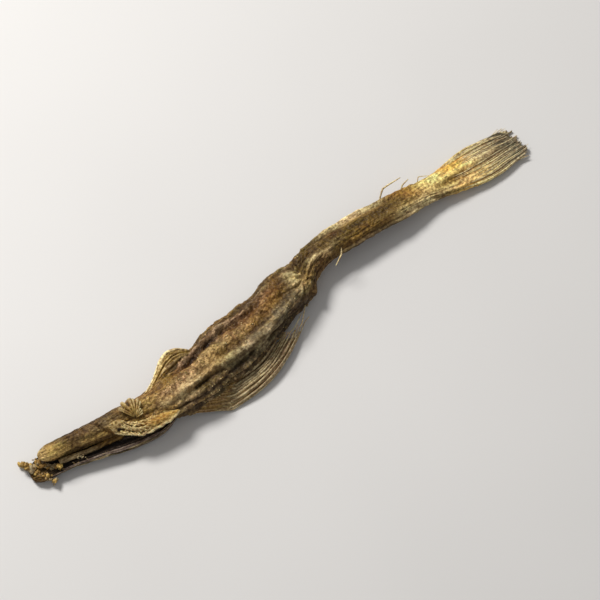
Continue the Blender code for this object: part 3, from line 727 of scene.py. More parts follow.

# %% [markdown]
# The colours follow the relief. Under everything lies the hide's own run of colour, from brown at the snout
# through olive and dark brown to the straw root of the tail and its grey end. Streaks follow the folds, soft
# patches mark the single places that catch the eye, a few streaks low on the near side are painted shade
# under the fish, and two patches on the snout are a painted highlight and a painted sheen. Then crests are
# lightened, partly bleached and partly as a painted highlight, and hollows and furrows are darkened as
# painted shade.

# %% The colours of the skin
HIDE = (
    (0, "hide"), (4, "hide"), (9, "olive"), (15, "loam"), (24, "bark"), (34, "bark"), (44, "hide"),
    (56, "hide"), (66, "hide"), (78, "bark"), (92, "bark"), (114, "loam"), (124, "bark"),
    (134, "bark"), (142, "bark"), (152, "loam"), (178, "loam"), (187, "hide"), (196, "straw"),
    (216, "straw"), (223, "tan"), (230, "hide"), (238, "grey"), (250, "grey"),
)
# x stations, angle round the body, half width, colour, strength
STREAKS = (
    ((-8, 6, 16, 31), (150, 154, 158, 162), 3.0, "straw", 0.45),
    ((12, 20, 28, 36), (138, 142, 146, 150), 3.4, "straw", 0.95),
    ((-8, 6, 16, 30), (158, 160, 164, 166), 2.2, "cream", 0.12),
    ((6, 16, 24, 34), (38, 38, 42, 44), 4.2, "umber", 0.80),
    ((8, 14, 20, 27), (80, 82, 86, 90), 3.0, "loam", 0.80),
    # painted shade along the underside of the head's near edge
    ((6, 26, 50), (194, 192, 186), 1.2, "umber", 0.80),
    ((44, 54, 62), (44, 42, 40), 3.0, "bark", 0.70),
    ((65, 80, 96, 114), (60, 62, 66, 68), 3.6, "wine", 1.25),
    ((66, 80, 96), (50, 52, 57), 1.8, "wine", 0.75),
    ((67, 80, 90, 108), (53, 53, 56, 60), 0.9, "umber", 0.90),
    ((66, 80, 90, 106), (44, 45, 49, 51), 0.8, "rose", 0.65),
    ((60, 84, 124), (72, 74, 74), 2.6, "bark", 0.85),
    ((100, 116, 134), (54, 54, 58), 5.0, "loam", 0.60),
    ((90, 106, 122), (72, 74, 78), 3.0, "rust", 0.55),
    ((50, 60, 72), (86, 84, 84), 1.3, "rose", 0.25),
    ((70, 80, 98), (88, 90, 92), 2.4, "ash", 0.65),
    ((70, 84, 104, 122), (91, 93, 96, 94), 2.4, "gold", 0.50),
    ((92, 106, 122), (106, 107, 109), 0.8, "umber", 0.60),
    ((86, 98, 116), (109, 111, 112), 2.6, "bark", 0.80),
    ((62, 70, 78), (128, 130, 133), 2.4, "umber", 0.80),
    ((52, 66, 76, 85, 94), (109, 103, 102, 113, 121), 1.5, "cream", 1.0),
    ((88, 106, 127), (118, 118, 118), 3.4, "grey", 0.85),
    ((78, 88, 98, 110), (123, 129, 133, 134), 2.4, "ash", 1.0),
    ((60, 72, 84), (120, 120, 126), 2.4, "moss", 0.95),
    ((54, 68, 82, 92, 108, 126), (144, 145, 143, 145, 149, 149), 0.8, "umber", 0.65),
    ((84, 93, 100), (146, 152, 158), 2.0, "umber", 0.55),
    ((60, 90, 130), (166, 166, 164), 4.0, "grey", 0.70),
    # painted shade under the near side of the trunk
    ((50, 95, 132), (200, 202, 198), 4.5, "dark", 0.75),
    ((124, 138, 149), (38, 36, 40), 5.0, "moss", 0.85),
    ((134, 143, 152), (66, 70, 76), 3.2, "loam", 0.55),
    ((137, 142, 147, 152), (97, 113, 127, 110), 1.2, "cream", 0.60),
    ((138, 146, 152), (134, 143, 140), 1.2, "umber", 0.55),
    ((152, 172, 190), (61, 62, 64), 2.6, "hide", 0.85),
    ((154, 174, 192), (52, 50, 52), 1.6, "gold", 0.35),
    ((150, 166, 178), (42, 42, 44), 1.5, "cream", 1.20),
    ((150, 170, 190), (140, 140, 142), 3.0, "gold", 0.45),
    ((148, 170, 196), (92, 92, 96), 3.2, "olive", 0.50),
    ((178, 190, 206), (142, 144, 138), 4.6, "straw", 0.90),
    ((182, 192, 204), (150, 150, 148), 2.8, "cream", 0.60),
    ((152, 176, 206), (176, 175, 176), 0.8, "cream", 0.75),
    # this streak and the next: painted shade under the near side of the stem
    ((150, 176, 206), (194, 192, 193), 3.0, "umber", 1.05),
    ((140, 170, 204), (222, 222, 222), 3.6, "dark", 0.70),
    ((200, 207, 214), (156, 138, 126), 0.8, "umber", 0.90),
    ((200, 208, 216), (140, 126, 116), 1.1, "cream", 0.70),
    ((202, 214, 226), (79, 78, 80), 1.4, "butter", 0.90),
    ((208, 218, 230), (64, 62, 64), 0.7, "rust", 0.50),
    ((206, 216, 228), (126, 118, 112), 1.0, "cream", 0.60),
    ((208, 218, 230), (142, 134, 128), 0.9, "cream", 0.45),
    ((206, 216, 228), (96, 92, 90), 0.8, "rust", 0.45),
    ((206, 216, 228), (108, 106, 106), 0.6, "umber", 0.60),
    ((20, 120, 200), (272, 270, 268), 9.0, "hide", 0.35),
)
# x, angle round the body, reach along, reach across, colour, strength
PATCHES = (
    (198, 52, 5.0, 5.0, "butter", 0.55),
    (204, 72, 7.0, 5.0, "butter", 0.90),
    (213, 45, 4.6, 2.6, "amber", 1.15),
    (218, 58, 5.0, 2.4, "amber", 0.70),
    (197, 148, 4.0, 4.0, "cream", 0.55),
    (213, 124, 6.0, 4.4, "gold", 0.55),
    (223, 112, 6.0, 3.0, "amber", 0.30),
    (223, 60, 4.0, 3.0, "cream", 0.35),
    (192, 60, 4.0, 3.0, "gold", 0.60),
    (180, 72, 8.0, 2.6, "bark", 0.60),
    (177, 110, 8.0, 3.4, "loam", 0.80),
    (153, 130, 5.0, 3.0, "loam", 0.50),
    (189, 151, 7.0, 2.2, "cream", 0.60),
    (153, 62, 2.6, 2.6, "rust", 0.60),
    (127, 82, 3.0, 5.5, "cream", 0.45),
    (131, 118, 3.0, 5.0, "straw", 0.35),
    (80, 107, 5.0, 1.8, "cream", 0.60),
    (229, 66, 5.0, 4.0, "linen", 0.60),
    (131, 160, 4.0, 3.0, "cream", 0.20),
    # painted highlight on the tip of the snout
    (-1, 125, 3.4, 6.0, "cream", 0.85),
    (0, 150, 2.6, 4.4, "straw", 0.45),
    (6, 125, 5.0, 3.4, "straw", 0.60),
    (27, 92, 6.0, 1.6, "ash", 0.30),
    # a painted sheen on the dip behind the snout
    (15, 122, 2.4, 2.0, "ash", 0.35),
    (34, 140, 4.0, 4.0, "tan", 0.40),
    (47, 78, 5.0, 3.0, "straw", 0.50),
    (60, 111, 5.0, 2.6, "cream", 0.60),
    (60, 150, 4.0, 3.0, "ash", 0.55),
    (101, 152, 6.0, 2.4, "ash", 0.65),
    (91, 172, 5.0, 2.6, "umber", 0.45),
)
# How strongly crests are lightened, partly bleached and partly as a painted highlight, and how strongly
# hollows and deep furrows are darkened as painted shade; then how much lighter pale spots are
CREST_BLEACH_AND_HIGHLIGHT, HOLLOW_SHADE, FURROW_SHADE, LIGHTER = 0.60, 0.85, 0.6, 1.4
MOTTLE_SIZE, MOTTLE_TINT = (5.0, 3.0), np.array((0.20, 0.10, 0.14))
# The colour that hollows and furrows are multiplied by for their painted shade
SHADE_BROWN = np.array((0.42, 0.33, 0.22))
FLECK, FLECK_SIZE, FLECK_FROM, FLECK_FULL = 0.7, 0.9, 0.25, 0.6
print(len(STREAKS), "streaks and", len(PATCHES), "patches")

# %% [markdown]
# The painting itself goes from large to small, as one would do by hand. A wobble of noise breaks up every
# edge, so that no streak looks drawn with a ruler.

# %% Paint the skin
def skin_tones(x, angle, heights):
    """Hide, then streaks and patches with noisy edges, then paler crests with painted highlight, painted
    shade in hollows, flecks.
    """
    large, fine = heights
    across = mean_radius(x)
    wobble = 1 + 0.35 * noise(wrapped(x, angle, 4.0, 3.0), 51) + 0.45 * noise(wrapped(x, angle, 1.5, 1.2), 53)
    tones = tones_along(x + 5 * noise(wrapped(x, angle, 9.0, 6.0), 52), HIDE)
    tones = np.broadcast_to(tones, (*np.broadcast(x, angle).shape, 3))
    for xs, degrees, width, name, strength in STREAKS:
        line = bell(beside(x, angle, across, xs, degrees) / width)
        tones = mixed(tones, ink(name), strength * faded_ends(x, xs) * wobble * line)
    for at, degrees, reach_x, reach_round, name, strength in PATCHES:
        spot = bell((x - at) / reach_x) * bell(turn_between(angle, degrees) * across / reach_round)
        tones = mixed(tones, ink(name), strength * wobble * spot)
    tones = tones * (1 + noise(wrapped(x, angle, *MOTTLE_SIZE), 57)[..., None] * MOTTLE_TINT)
    # Crests made paler: partly bleached skin, partly a painted highlight
    tones = mixed(tones, tones * LIGHTER + ink("cream") * 0.10, CREST_BLEACH_AND_HIGHLIGHT * np.clip(fine / 0.5, 0, 1) ** 1.5)
    # Painted shade in the hollows of the fine relief and in the deep furrows of the large folds
    tones = mixed(tones, tones * SHADE_BROWN, HOLLOW_SHADE * np.clip(-fine / 0.55, 0, 1))
    tones = mixed(tones, tones * SHADE_BROWN, FURROW_SHADE * np.clip(-large / 2.2, 0, 1))
    flecks = ease(noise(wrapped(x, angle, FLECK_SIZE, FLECK_SIZE), 55), FLECK_FROM, FLECK_FULL)
    rise = 0.5 + 0.5 * np.clip(fine / 0.4, -1, 1)
    share = FLECK * smooth_curve(x, ROUGH_X, ROUGH_SHARE) ** 2
    return mixed(tones, tones * LIGHTER + ink("rose") * 0.42, share * flecks * rise)


back = np.array([84.0]), np.array([math.pi / 2])
print("colour on the back at 84 mm:", skin_tones(*back, skin_heights(*back))[0].round(3))

# %% [markdown]
# With form, relief and colour known at every place, the skin itself is one grid of rings. The rings crowd
# together at the nose, where the form turns fastest, and the last ones are drawn back unevenly, because a
# dried tail is torn and not cut. The skin could be modelled by hand with a sculpting brush, but a formula
# can be read and changed.

# %% Make the skin
SKIN_RINGS, SKIN_ROUND, NOSE_RINGS, NOSE_START = 640, 150, 24, 0.12
# How far the torn end is drawn back on the average and how unevenly, and where that begins and is full
TEAR_MEAN, TEAR_DEPTH, TEAR_FROM, TEAR_FULL = 1.6, 3.0, 228, 246
# Where the head ends, and how much closer together its grain lies
HEAD_END, HEAD_GRAIN = 42.0, 1.1


def ragged_end(x, angle):
    """How far the torn end of the tail is drawn back between its rays, growing over the last centimetres."""
    tear = noise_at(61, x * 0, 4.2 * np.cos(angle), 0.5)
    return (TEAR_MEAN + TEAR_DEPTH * tear) * ease(x, TEAR_FROM, TEAR_FULL)


def make_skin():
    """Rings at 1 - cos t of the round of the nose, then evenly along, each point moved out by the relief."""
    turn = np.linspace(NOSE_START, math.pi / 2, NOSE_RINGS)
    behind = np.linspace(NOSE_ROUND, SKIN_LENGTH - 0.1, SKIN_RINGS - NOSE_RINGS + 1)[1:]
    x = np.concatenate((NOSE_ROUND * (1 - np.cos(turn)), behind))
    x, angle = np.meshgrid(x, all_round(SKIN_ROUND), indexing="ij")
    heights = skin_heights(x, angle)
    rings = skin_point(x, angle, heights)
    rings[..., 0] -= ragged_end(x, angle)
    poles = [(at, *np.array(body_at(np.array(at)))[:2]) for at in (0.0, SKIN_LENGTH - TEAR_MEAN)]
    fibres = wrapped(x, wandering(x, angle), 6.0, 0.55)
    fibres[..., 0] -= HEAD_GRAIN * np.maximum(HEAD_END - x, 0)
    fibres[..., 1:] *= (0.4 + 0.6 * ease(x, HEAD_END - 14, HEAD_END + 6))[..., None]
    tones = skin_tones(x, angle, heights)
    put_on("skin", [loft(rings, *poles)], with_ends(tones), with_ends(fibres), SKIN)


make_skin()

# %% [markdown]
# The lower jaw hangs open beside the head as a shallow scoop, dark inside, with its near rim standing up.
# It is a closed loft too: at each station the section runs under the floor, up over the near rim, through
# the hollow and over the far rim. An open sheet would be simpler, but the jaw has thickness, and a closed
# piece shows it.

# %% The lower jaw
# x, y of the near rim, y of the far rim, height of the rims
JAW_STATIONS = np.array((
    (-5.6, -3.2, 1.4, 2.6),
    (-3.4, -5.0, 3.4, 3.0),
    (0.0, -5.8, 4.4, 3.5),
    (8.0, -6.8, 4.2, 4.2),
    (20.0, -10.6, 2.4, 4.8),
    (35.0, -15.3, 0.4, 5.2),
    (48.0, -16.9, -1.8, 5.2),
    (58.6, -13.6, -5.2, 3.2),
))
JAW_FLOOR, JAW_HOLLOW_POWER, JAW_UNDER_POWER, JAW_SIDE_FULLNESS = 0.8, 6, 0.6, 0.9
JAW_RINGS, JAW_ROUND, JAW_TIP = 220, 90, 0.4
# Tendons that shine through on the near side: angle in degrees and half width in radians
JAW_TENDONS = ((172, 0.10), (138, 0.07), (112, 0.06))


def jaw_point(x, angle):
    """The scoop: rims at angles 0 and pi, the floor of the hollow above and the flat underside below."""
    near, far, rim = (smooth_curve(x, JAW_STATIONS[:, 0], JAW_STATIONS[:, column]) for column in (1, 2, 3))
    cosine, sine = np.cos(angle), np.sin(angle)
    hollow = rim * (JAW_FLOOR + (1 - JAW_FLOOR) * np.abs(cosine) ** JAW_HOLLOW_POWER)
    under = np.maximum(rim * (1 - np.abs(sine) ** JAW_UNDER_POWER), CLEARANCE)
    fullness = JAW_SIDE_FULLNESS + (1 - JAW_SIDE_FULLNESS) * np.abs(cosine)
    y = (near + far) / 2 + (far - near) / 2 * cosine * fullness
    return stacked(x, y, np.where(sine > 0, hollow, under))


def make_jaw():
    """The scoop with its lines: creased noise and finer noise move the hollow up and the sides in and out."""
    x = np.linspace(JAW_STATIONS[0, 0], JAW_STATIONS[-1, 0], JAW_RINGS)
    x, angle = np.meshgrid(x, all_round(JAW_ROUND), indexing="ij")
    rings = jaw_point(x, angle)
    lines = creased(noise(wrapped(x, angle, 14.0, 1.4), 71))
    crumple = noise(wrapped(x, angle, 3.0, 1.2), 72)
    rings[..., 2] += np.where(np.sin(angle) > 0, 0.35 * lines + 0.25 * crumple, 0)
    rings[..., 1] += (0.22 * lines + 0.2 * crumple) * np.cos(angle)
    rings[..., 2] = np.maximum(rings[..., 2], CLEARANCE)
    rim = bell(turn_between(angle, 180) / 0.5)
    swung = angle + 0.12 * noise(wrapped(x, angle, 9.0, 4.0), 73)
    tendons = [(ink("plum") * 1.5, 0.8 * bell(turn_between(swung, degrees) / width) * ease(x, 8, 18))
               for degrees, width in JAW_TENDONS]
    tones = painted(rings, ink("dark") * 0.6, (ink("plum"), 0.22 * rim + 0.16 * np.clip(lines, 0, 1)),
                    *tendons,
                    (ink("bark"), 0.8 * (1 - ease(x, -4, 6))))
    # Painted shade: the grooves between the creased lines are darkened to three tenths
    tones = mixed(tones, tones * 0.3, 0.7 * ease(-lines, 0.0, 0.5))
    ends = rings[0].mean(axis=0) - (JAW_TIP, 0, 0), rings[-1].mean(axis=0)
    places = wrapped(x, angle, 6.0, 0.5)
    put_on("lower_jaw", [loft(rings, *ends)], with_ends(tones), with_ends(places), DARK_SKIN)


make_jaw()

# %% [markdown]
# Dried sinews lie along the near rim of the jaw. They are strands, and so are teeth, rays, hairs and fibres
# further on: each is long, thin and round, and only its path, its thickness and its two end colours differ.
# So one function makes a piece of any number of them.

# %% The sinews of the jaw
# Sides of each thin tube
SIDES = 6
SINEWS, SINEW_STEPS = 9, 60
SINEW_INKS = ("ash", "plum", "grey", "plum", "ash")


def strands_piece(name, strands, material):
    """Many thin tubes as one piece; each has its path, its radius along it and its two end colours."""
    shells, tones, fibres = [], [], []
    for route, radius, start, end in strands:
        shells.append(strand(route, radius, SIDES))
        t = np.concatenate((np.repeat(np.linspace(0, 1, len(route)), SIDES), (0.0, 1.0)))[:, None]
        tones.append(start * (1 - t) + end * t)
        fibres.append(shells[-1][0] / (6.0, 0.6, 0.6))
    put_on(name, shells, np.concatenate(tones), np.concatenate(fibres), material)


def make_jaw_strands():
    """Each follows the near rim of the scoop at its own distance in and height, wandering a little."""
    rng, sinews = np.random.default_rng(5), []
    thickness = np.sin(math.pi * np.linspace(0.08, 0.94, SINEW_STEPS)) ** 0.5
    for number in range(SINEWS):
        start, end = rng.uniform(0, 12), rng.uniform(40, 56)
        x = np.linspace(start, end, SINEW_STEPS)
        route = jaw_point(x, np.full_like(x, math.pi + rng.uniform(-0.5, 0.55)))
        sway = noise_at(81, x / 7, number * 3.1, 0.0)
        route[:, 1] += 0.5 * sway - 0.1
        route[:, 2] += 0.2 + 0.4 * sway * ease(x, start, start + 10)
        route[:, 2] = np.maximum(route[:, 2], CLEARANCE + 0.3)
        radius = rng.uniform(0.22, 0.5) * thickness
        colour = ink(SINEW_INKS[number % len(SINEW_INKS)])
        sinews.append((route, radius, colour * 1.6, colour * 1.8))
    strands_piece("jaw_strands", sinews, DARK_SKIN)


make_jaw_strands()

# %% [markdown]
# Small sharp teeth stand in the near rim of the jaw. Each is a curved cone, which is the same tube with a
# radius that shrinks to its tip.

# %% The teeth
TEETH = 11


def make_teeth():
    """Small curved cones in the near rim, leaning in and forwards, no two of one length."""
    rng, cones = np.random.default_rng(7), []
    t = np.linspace(0, 1, 8)[:, None]
    for at in np.sort(rng.uniform(6.0, 27.0, TEETH)):
        foot = jaw_point(np.array(at), np.array(math.pi)) + (0.0, 0.35, -0.3)
        lean = rng.uniform((-0.8, 0.0, 0.5), (0.1, 0.9, 1.4))
        route = foot + lean * t + np.array((-0.4, 0.0, 0.0)) * t**2
        cones.append((route, rng.uniform(0.22, 0.36) * (1 - t[:, 0]) ** 0.7 + 0.05, ink("hide"), ink("ash")))
    strands_piece("teeth", cones, FIN)


make_teeth()

# %% [markdown]
# The upper lip has dried into a hard bar that stands off the head. It is one thick tube along its own
# curve, made lumpy by noise, and it is painted by its height: darker below as painted shade, paler on top.

# %% The lip
# x, y, z and radius of the lip
LIP_BAR = ((56, -11.0, 7.0, 1.2), (46, -12.6, 6.4, 1.4), (34, -9.0, 5.2, 1.3), (20, -6.6, 5.3, 1.1),
           (6, -3.2, 5.5, 1.0))
LIP_STEPS, LIP_SIDES = 160, 20


def make_lip():
    """The bar of the upper lip: a tube along its own curve, lumpy, pale on top and in painted shade below."""
    bar = curve_through(LIP_BAR, LIP_STEPS)
    bumpy = 1 + 0.22 * noise_at(91, bar[:, 0] / 2.4, 0.0, 0.0)
    shell = strand(bar[:, :3], bar[:, 3] * bumpy, LIP_SIDES)
    points = shell[0]
    grain = noise(points / (3.0, 0.8, 0.8), 92)
    points[:, 1:] += 0.16 * noise(points / (2.0, 0.9, 0.9), 93)[:, None]
    # The height sets a painted shade: the bar is darker towards its underside
    height = ease(points[:, 2], 4.5, 7.5)
    tones = painted(points, ink("umber"), (ink("hide"), height), (ink("tan"), 0.6 * ease(grain, -0.1, 0.5)),
                    (ink("ash"), (0.25 + 0.5 * height) * (1 - ease(points[:, 0], 16, 26))))
    put_on("lip", [shell], tones, points / (6.0, 0.6, 0.6), SKIN)


make_lip()

# %% [markdown]
# Under the snout sits a band of dried crumbs, broken skin of the chin that stuck where the fish lay. They
# could be one rough lump, but at this size one sees each crumb. So each is a small ball of few faces,
# pulled out of round by noise, with its own size, turn and shade.

# %% The chin crumbs
# The two bands of crumbs, under the chin and in the mouth: x and y along the middle, count, spread, lowest,
# highest
CRUMB_BANDS = (
    (((-6.4, 6.0), (-4.8, 2.2), (-3.0, -2.6), (0.2, -7.2)), 120, 0.85, 1.3, 3.6),
    (((-2.0, 3.6), (0.6, -1.0), (5.0, -4.6)), 46, 0.6, 3.0, 4.6),
)
CRUMB_INKS = ("ash", "straw", "tan", "ash", "tan", "straw")


def ball(subdivisions):
    """Points and triangles of an icosphere of radius 1."""
    shape = bmesh.new()
    bmesh.ops.create_icosphere(shape, subdivisions=subdivisions, radius=1.0)
    points = np.array([vert.co for vert in shape.verts])
    faces = np.array([[vert.index for vert in face.verts] for face in shape.faces])
    shape.free()
    return points, faces


def lumps(name, centres, radii, inks, seed, material, lumpy, detail=2, lowest=0.0):
    """Balls stretched and turned at random, each point moved in or out by noise, darker below as painted
    shade.
    """
    rng = np.random.default_rng(seed)
    points, faces = ball(detail)
    shells, tones = [], []
    for number, (centre, radius, colour) in enumerate(zip(centres, radii, inks)):
        turn = np.linalg.qr(rng.normal(size=(3, 3)))[0]
        shape = points * (1 + lumpy * noise(points * 1.6 + number * 5.7, seed))[:, None]
        shape = (shape * rng.uniform(0.6, 1.15, 3)) @ turn * radius + centre
        shape[:, 2] = np.maximum(shape[:, 2], lowest)
        shells.append((shape, np.empty((0, 4), int), faces))
        # Painted shade: each lump darker towards its bottom and full colour on top
        shade = 0.55 + 0.45 * ease((shape[:, 2] - centre[2]) / radius, -0.8, 0.6)
        tones.append(colour * shade[:, None])
    whole = np.concatenate([shell[0] for shell in shells])
    put_on(name, shells, np.concatenate(tones), whole / 0.8, material)


def crumb_places(rng, band, count, spread, low, high):
    """Places scattered about a line: the line's points, each moved by a normal share of the spread."""
    along = curve_through(band, count)
    shift = rng.normal(0.0, spread, (count, 2))
    height = rng.uniform(low, high, count)
    return stacked(along[:, 0] + np.abs(shift[:, 0]) * 1.1, along[:, 1] + shift[:, 1], height)


def make_crumbs():
    """Crumbs of radius 0.4 + 0.95 u^2, u from 0 to 1, so that most are small; none lies under the table."""
    rng = np.random.default_rng(11)
    centres = np.concatenate([crumb_places(rng, *band) for band in CRUMB_BANDS])
    count = len(centres)
    radii = 0.4 + 0.95 * rng.uniform(0, 1, count) ** 2
    centres[:, 2] = np.maximum(centres[:, 2], radii * 0.9)
    inks = [ink(CRUMB_INKS[pick]) for pick in rng.integers(0, len(CRUMB_INKS), count)]
    lumps("chin_crumbs", centres, radii, inks, 12, CRUMB, lumpy=0.45)


make_crumbs()

# %% [markdown]
# At the corner of the mouth a few pale splinters of bone show, and under the snout the end of the jaw bone
# is a pale knob. They are made by the same function as the crumbs, with paler colours and a glossier
# finish.

# %% Splinters of bone
# Middle, spread and count of the splinters and of the lumps of the knob, and how much larger those lumps are
SPLINTERS = (13.4, -6.6, 6.0), (1.0, 0.5, 0.3), 16
KNOB, KNOB_LARGER = ((4.6, -4.8, 5.0), (0.6, 0.4, 0.3), 4), 3.0


def make_bone_flecks():
    """Two clusters, each spread about its middle by a normal share; the knob's lumps are the larger ones."""
    rng = np.random.default_rng(13)
    cluster, knob = (middle + rng.normal(0.0, spread, (count, 3))
                     for middle, spread, count in (SPLINTERS, KNOB))
    centres = np.concatenate((cluster, knob))
    radii = rng.uniform(0.18, 0.42, len(centres))
    radii[len(cluster):] *= KNOB_LARGER
    inks = [ink("ash")] * len(cluster) + [ink("straw") * 1.2] * len(knob)
    lumps("bone_flecks", centres, radii, inks, 14, FIN, lumpy=0.5)


make_bone_flecks()

# %% [markdown]
# Behind the head stands the gill frill, a fan of stiff pleats like a torn paper rosette, with a smaller fan
# beside it. Each is a leaf: a grid in bearing and radius round its root, bent into pleats by a cosine and
# given a thin wall. A flat fan with painted pleats would look dead, because the light falls on the flank of
# each pleat.

# %% The gill frill
FRILL_ROOT = (39.6, -9.0)
# first and last bearing in degrees (0 across to the far side, 90 to the tail), radius, ribs, curl and height
FRILLS = ((-38.0, 60.0, 8.8, 6, 1.2, 0.7), (52.0, 104.0, 3.6, 3, 0.5, 0.9))
RIB_HEIGHT, FRILL_WALL = 0.60, 0.45
FRILL_STEPS, STEPS_PER_RIB = 32, 22


def lying(x, y):
    """Height of the smooth skin under (x, y): centre z + half height * sqrt(1 - across^2)."""
    centre_y, centre_z, half_width, half_height, _ = body_at(x)
    across = np.clip(np.abs(y - centre_y) / half_width, 0, 1)
    return centre_z + half_height * np.sqrt(1 - across**2)


def frill_fan(first, last, size, ribs, curl, height, seed):
    """A fan round its root: radius r, bearing t, ribs of cos(2 pi n t) rising outwards, rim curled by r^3."""
    reach = np.linspace(0.06, 1.0, FRILL_STEPS)[:, None]
    turn = np.linspace(0.0, 1.0, STEPS_PER_RIB * ribs + 1)[None, :]
    ragged = noise_at(seed, turn * ribs * 1.7, reach * 0, seed)
    bearing = np.radians(first + (last - first) * (turn + 0.05 * ragged * reach))
    crest = np.cos(2 * math.pi * ribs * (turn + 0.04 * np.sin(7 * turn + seed)))
    radius = size * reach * (1 + reach * (0.09 * ragged + 0.05 * crest) - 1.3 * (turn - 0.46) ** 2)
    x, y = FRILL_ROOT[0] + radius * np.sin(bearing), FRILL_ROOT[1] + radius * np.cos(bearing)
    z = lying(x, y) + height + RIB_HEIGHT * crest * ease(reach, 0.0, 0.6)
    z = z + curl * (1 + 0.5 * ragged) * reach**3
    return stacked(x, y, z), *np.broadcast_arrays(crest, reach, turn)


def make_frill():
    """The fans: straw on the crests as painted highlight, cream at the rim, painted shade between the pleats
    and at the root.
    """
    fans = []
    for number, values in enumerate(FRILLS):
        grid, crest, reach, turn = frill_fan(*values, seed=101 + number)
        rim = 0.7 * ease(reach, 0.3, 1.0) * ease(crest, 0.0, 1) + 0.6 * ease(reach, 0.86, 1.0)
        # Straw on the crests is a painted highlight; umber between the pleats and at the root is painted
        # shade
        tone = painted(grid, ink("hide"), (ink("straw") * 0.85, 0.5 + 0.5 * crest), (ink("cream") * 0.8, rim),
                       (ink("umber"), 0.75 * ease(-crest, 0.2, 0.9) * (1 - ease(reach, 0.8, 0.95))),
                       (ink("umber"), 0.5 * (1 - ease(reach, 0.05, 0.3))))
        fans.append((grid, FRILL_WALL, tone, stacked(reach * 2, turn * 14, 0.0)))
    put_leaves_on("gill_frill", fans, GILL)


make_frill()

# %% [markdown]
# Below the frill hangs the gill flap, a ruffled leaf with an orange point. It lies between two edges that
# are drawn point by point, because its outline is what one knows it by. Over it runs a net of raised lines,
# and slits and pores are worn into it. They are sunk, not cut through, so that the leaf stays closed, and
# painted dark as the shade that would be seen through them.

# %% The gill flap
# x, y and z along the edge on the head and along the free edge
FLAP_UPPER = (
    (28.3, -4.9, 11.4), (33.0, -5.4, 12.2), (36.7, -8.8, 12.2), (41.6, -11.4, 12.2),
    (47.5, -12.0, 12.0), (55.2, -15.2, 10.6),
)
FLAP_LOWER = (
    (29.6, -8.2, 9.4), (34.4, -12.4, 8.8), (38.8, -15.4, 8.6), (45.4, -16.5, 8.8), (51.6, -17.0, 9.4),
    (56.0, -15.9, 10.2),
)
FLAP_OUTWARDS = np.array((0.0, -0.4, 0.9))
FLAP_GAP, FLAP_WALL, FLAP_STEPS_ALONG, FLAP_STEPS_DOWN = 0.5, 0.45, 170, 70
# Meshes of the net along and down the flap, the width of its borders in meshes, and how deep slits are sunk
MESH_ALONG, MESH_DOWN, LACE_WIDTH, SLIT_DEPTH = 17.0, 4.0, 0.16, 0.9
# Slits worn into the flap: how far along and down their middles are, and their half sizes
SLITS = (
    (0.14, 0.55, 0.05, 0.10), (0.33, 0.26, 0.045, 0.09), (0.27, 0.70, 0.06, 0.07),
    (0.47, 0.40, 0.07, 0.06), (0.42, 0.80, 0.045, 0.05), (0.07, 0.72, 0.03, 0.08),
    (0.62, 0.74, 0.06, 0.05), (0.56, 0.18, 0.04, 0.05),
)


def make_flap():
    """Between two edges, bulging outwards, netted with raised borders, ruffled below; slits sunk, in painted
    shade.
    """
    along = np.linspace(0.0, 1.0, FLAP_STEPS_ALONG)[:, None]
    down = np.linspace(0.0, 1.0, FLAP_STEPS_DOWN)[None, :]
    upper, lower = (curve_through(edge, along.size)[:, None, :] for edge in (FLAP_UPPER, FLAP_LOWER))
    arch = np.sin(math.pi * along)

    torn = noise_at(111, along * 16, down * 0, 0.5)
    sway = 0.35 * noise_at(112, along * 9, down * 3, 0.5)
    near, border = net(stacked(along * MESH_ALONG + sway, down * MESH_DOWN + sway), 113)
    lace = bell(border / LACE_WIDTH)
    open_net = 1 - 0.7 * ease(along, 0.45, 0.62)
    ruffles = np.sin(2 * math.pi * 3.5 * along + 1.5 * down) * (1 - 0.7 * along)
    bulge = 0.9 * np.sin(math.pi * down) + 0.32 * down**2 * ruffles + 0.6 * bell((down - 0.95) / 0.1)
    outwards = bulge * arch**0.7 + 0.55 * (lace - 0.4) * open_net * arch**0.5
    reach = (down * (1 + 0.05 * torn))[..., None]
    grid = upper + (lower - upper) * reach + outwards[..., None] * FLAP_OUTWARDS

    slit = 1.6 - np.stack([((along - middle) / half_along) ** 2 + ((down - deep) / half_down) ** 2
                           for middle, deep, half_along, half_down in SLITS]).min(axis=0)
    pores = ease(0.24 - near, -0.08, 0.10) * (1 - ease(along, 0.5, 0.7)) * (1 - ease(down, 0.8, 0.9))
    worn_and_shaded = np.maximum(ease(slit, -0.6, 0.6), 0.55 * pores)
    grid[..., 2] = np.maximum(grid[..., 2] - SLIT_DEPTH * worn_and_shaded, lying(grid[..., 0], grid[..., 1]) + FLAP_GAP)

    rim, speckled = ease(down, 0.84, 0.96), noise_at(114, along * 30, down * 9, 0.5)
    point = 0.9 * ease(along, 0.42, 0.70) * ease(down, 0.1, 0.3) * (1 - ease(down, 0.6, 0.85))
    between = 0.35 * open_net * ease(border - 0.1 * speckled, 0.35, 0.6) * (1 - rim)
    # Umber over the slits and pores is painted shade, standing in for the dark seen through a hole
    tone = painted(grid, ink("straw") * 1.3 + ink("linen") * 0.2, (ink("amber"), point),
                   (ink("cream") * 1.3, 0.75 * lace * open_net + rim), (ink("rust"), between),
                   (ink("umber"), 0.9 * worn_and_shaded + 0.3 * (1 - ease(along, 0.0, 0.3)) * ease(speckled, 0.0, 0.5)))
    put_leaves_on("gill_flap", [(grid, FLAP_WALL, tone, stacked(along * 4, down * 12, 0.0))], GILL)


make_flap()

# %% [markdown]
# On the far side the skin of the shoulder has come away as a pale leaf with a rolled edge. Its root runs
# along the back, and its free edge stands out in a long bell. The roll could be modelled as a curl, but at
# this size a wall that grows thicker towards the edge looks the same and can't fold into itself.

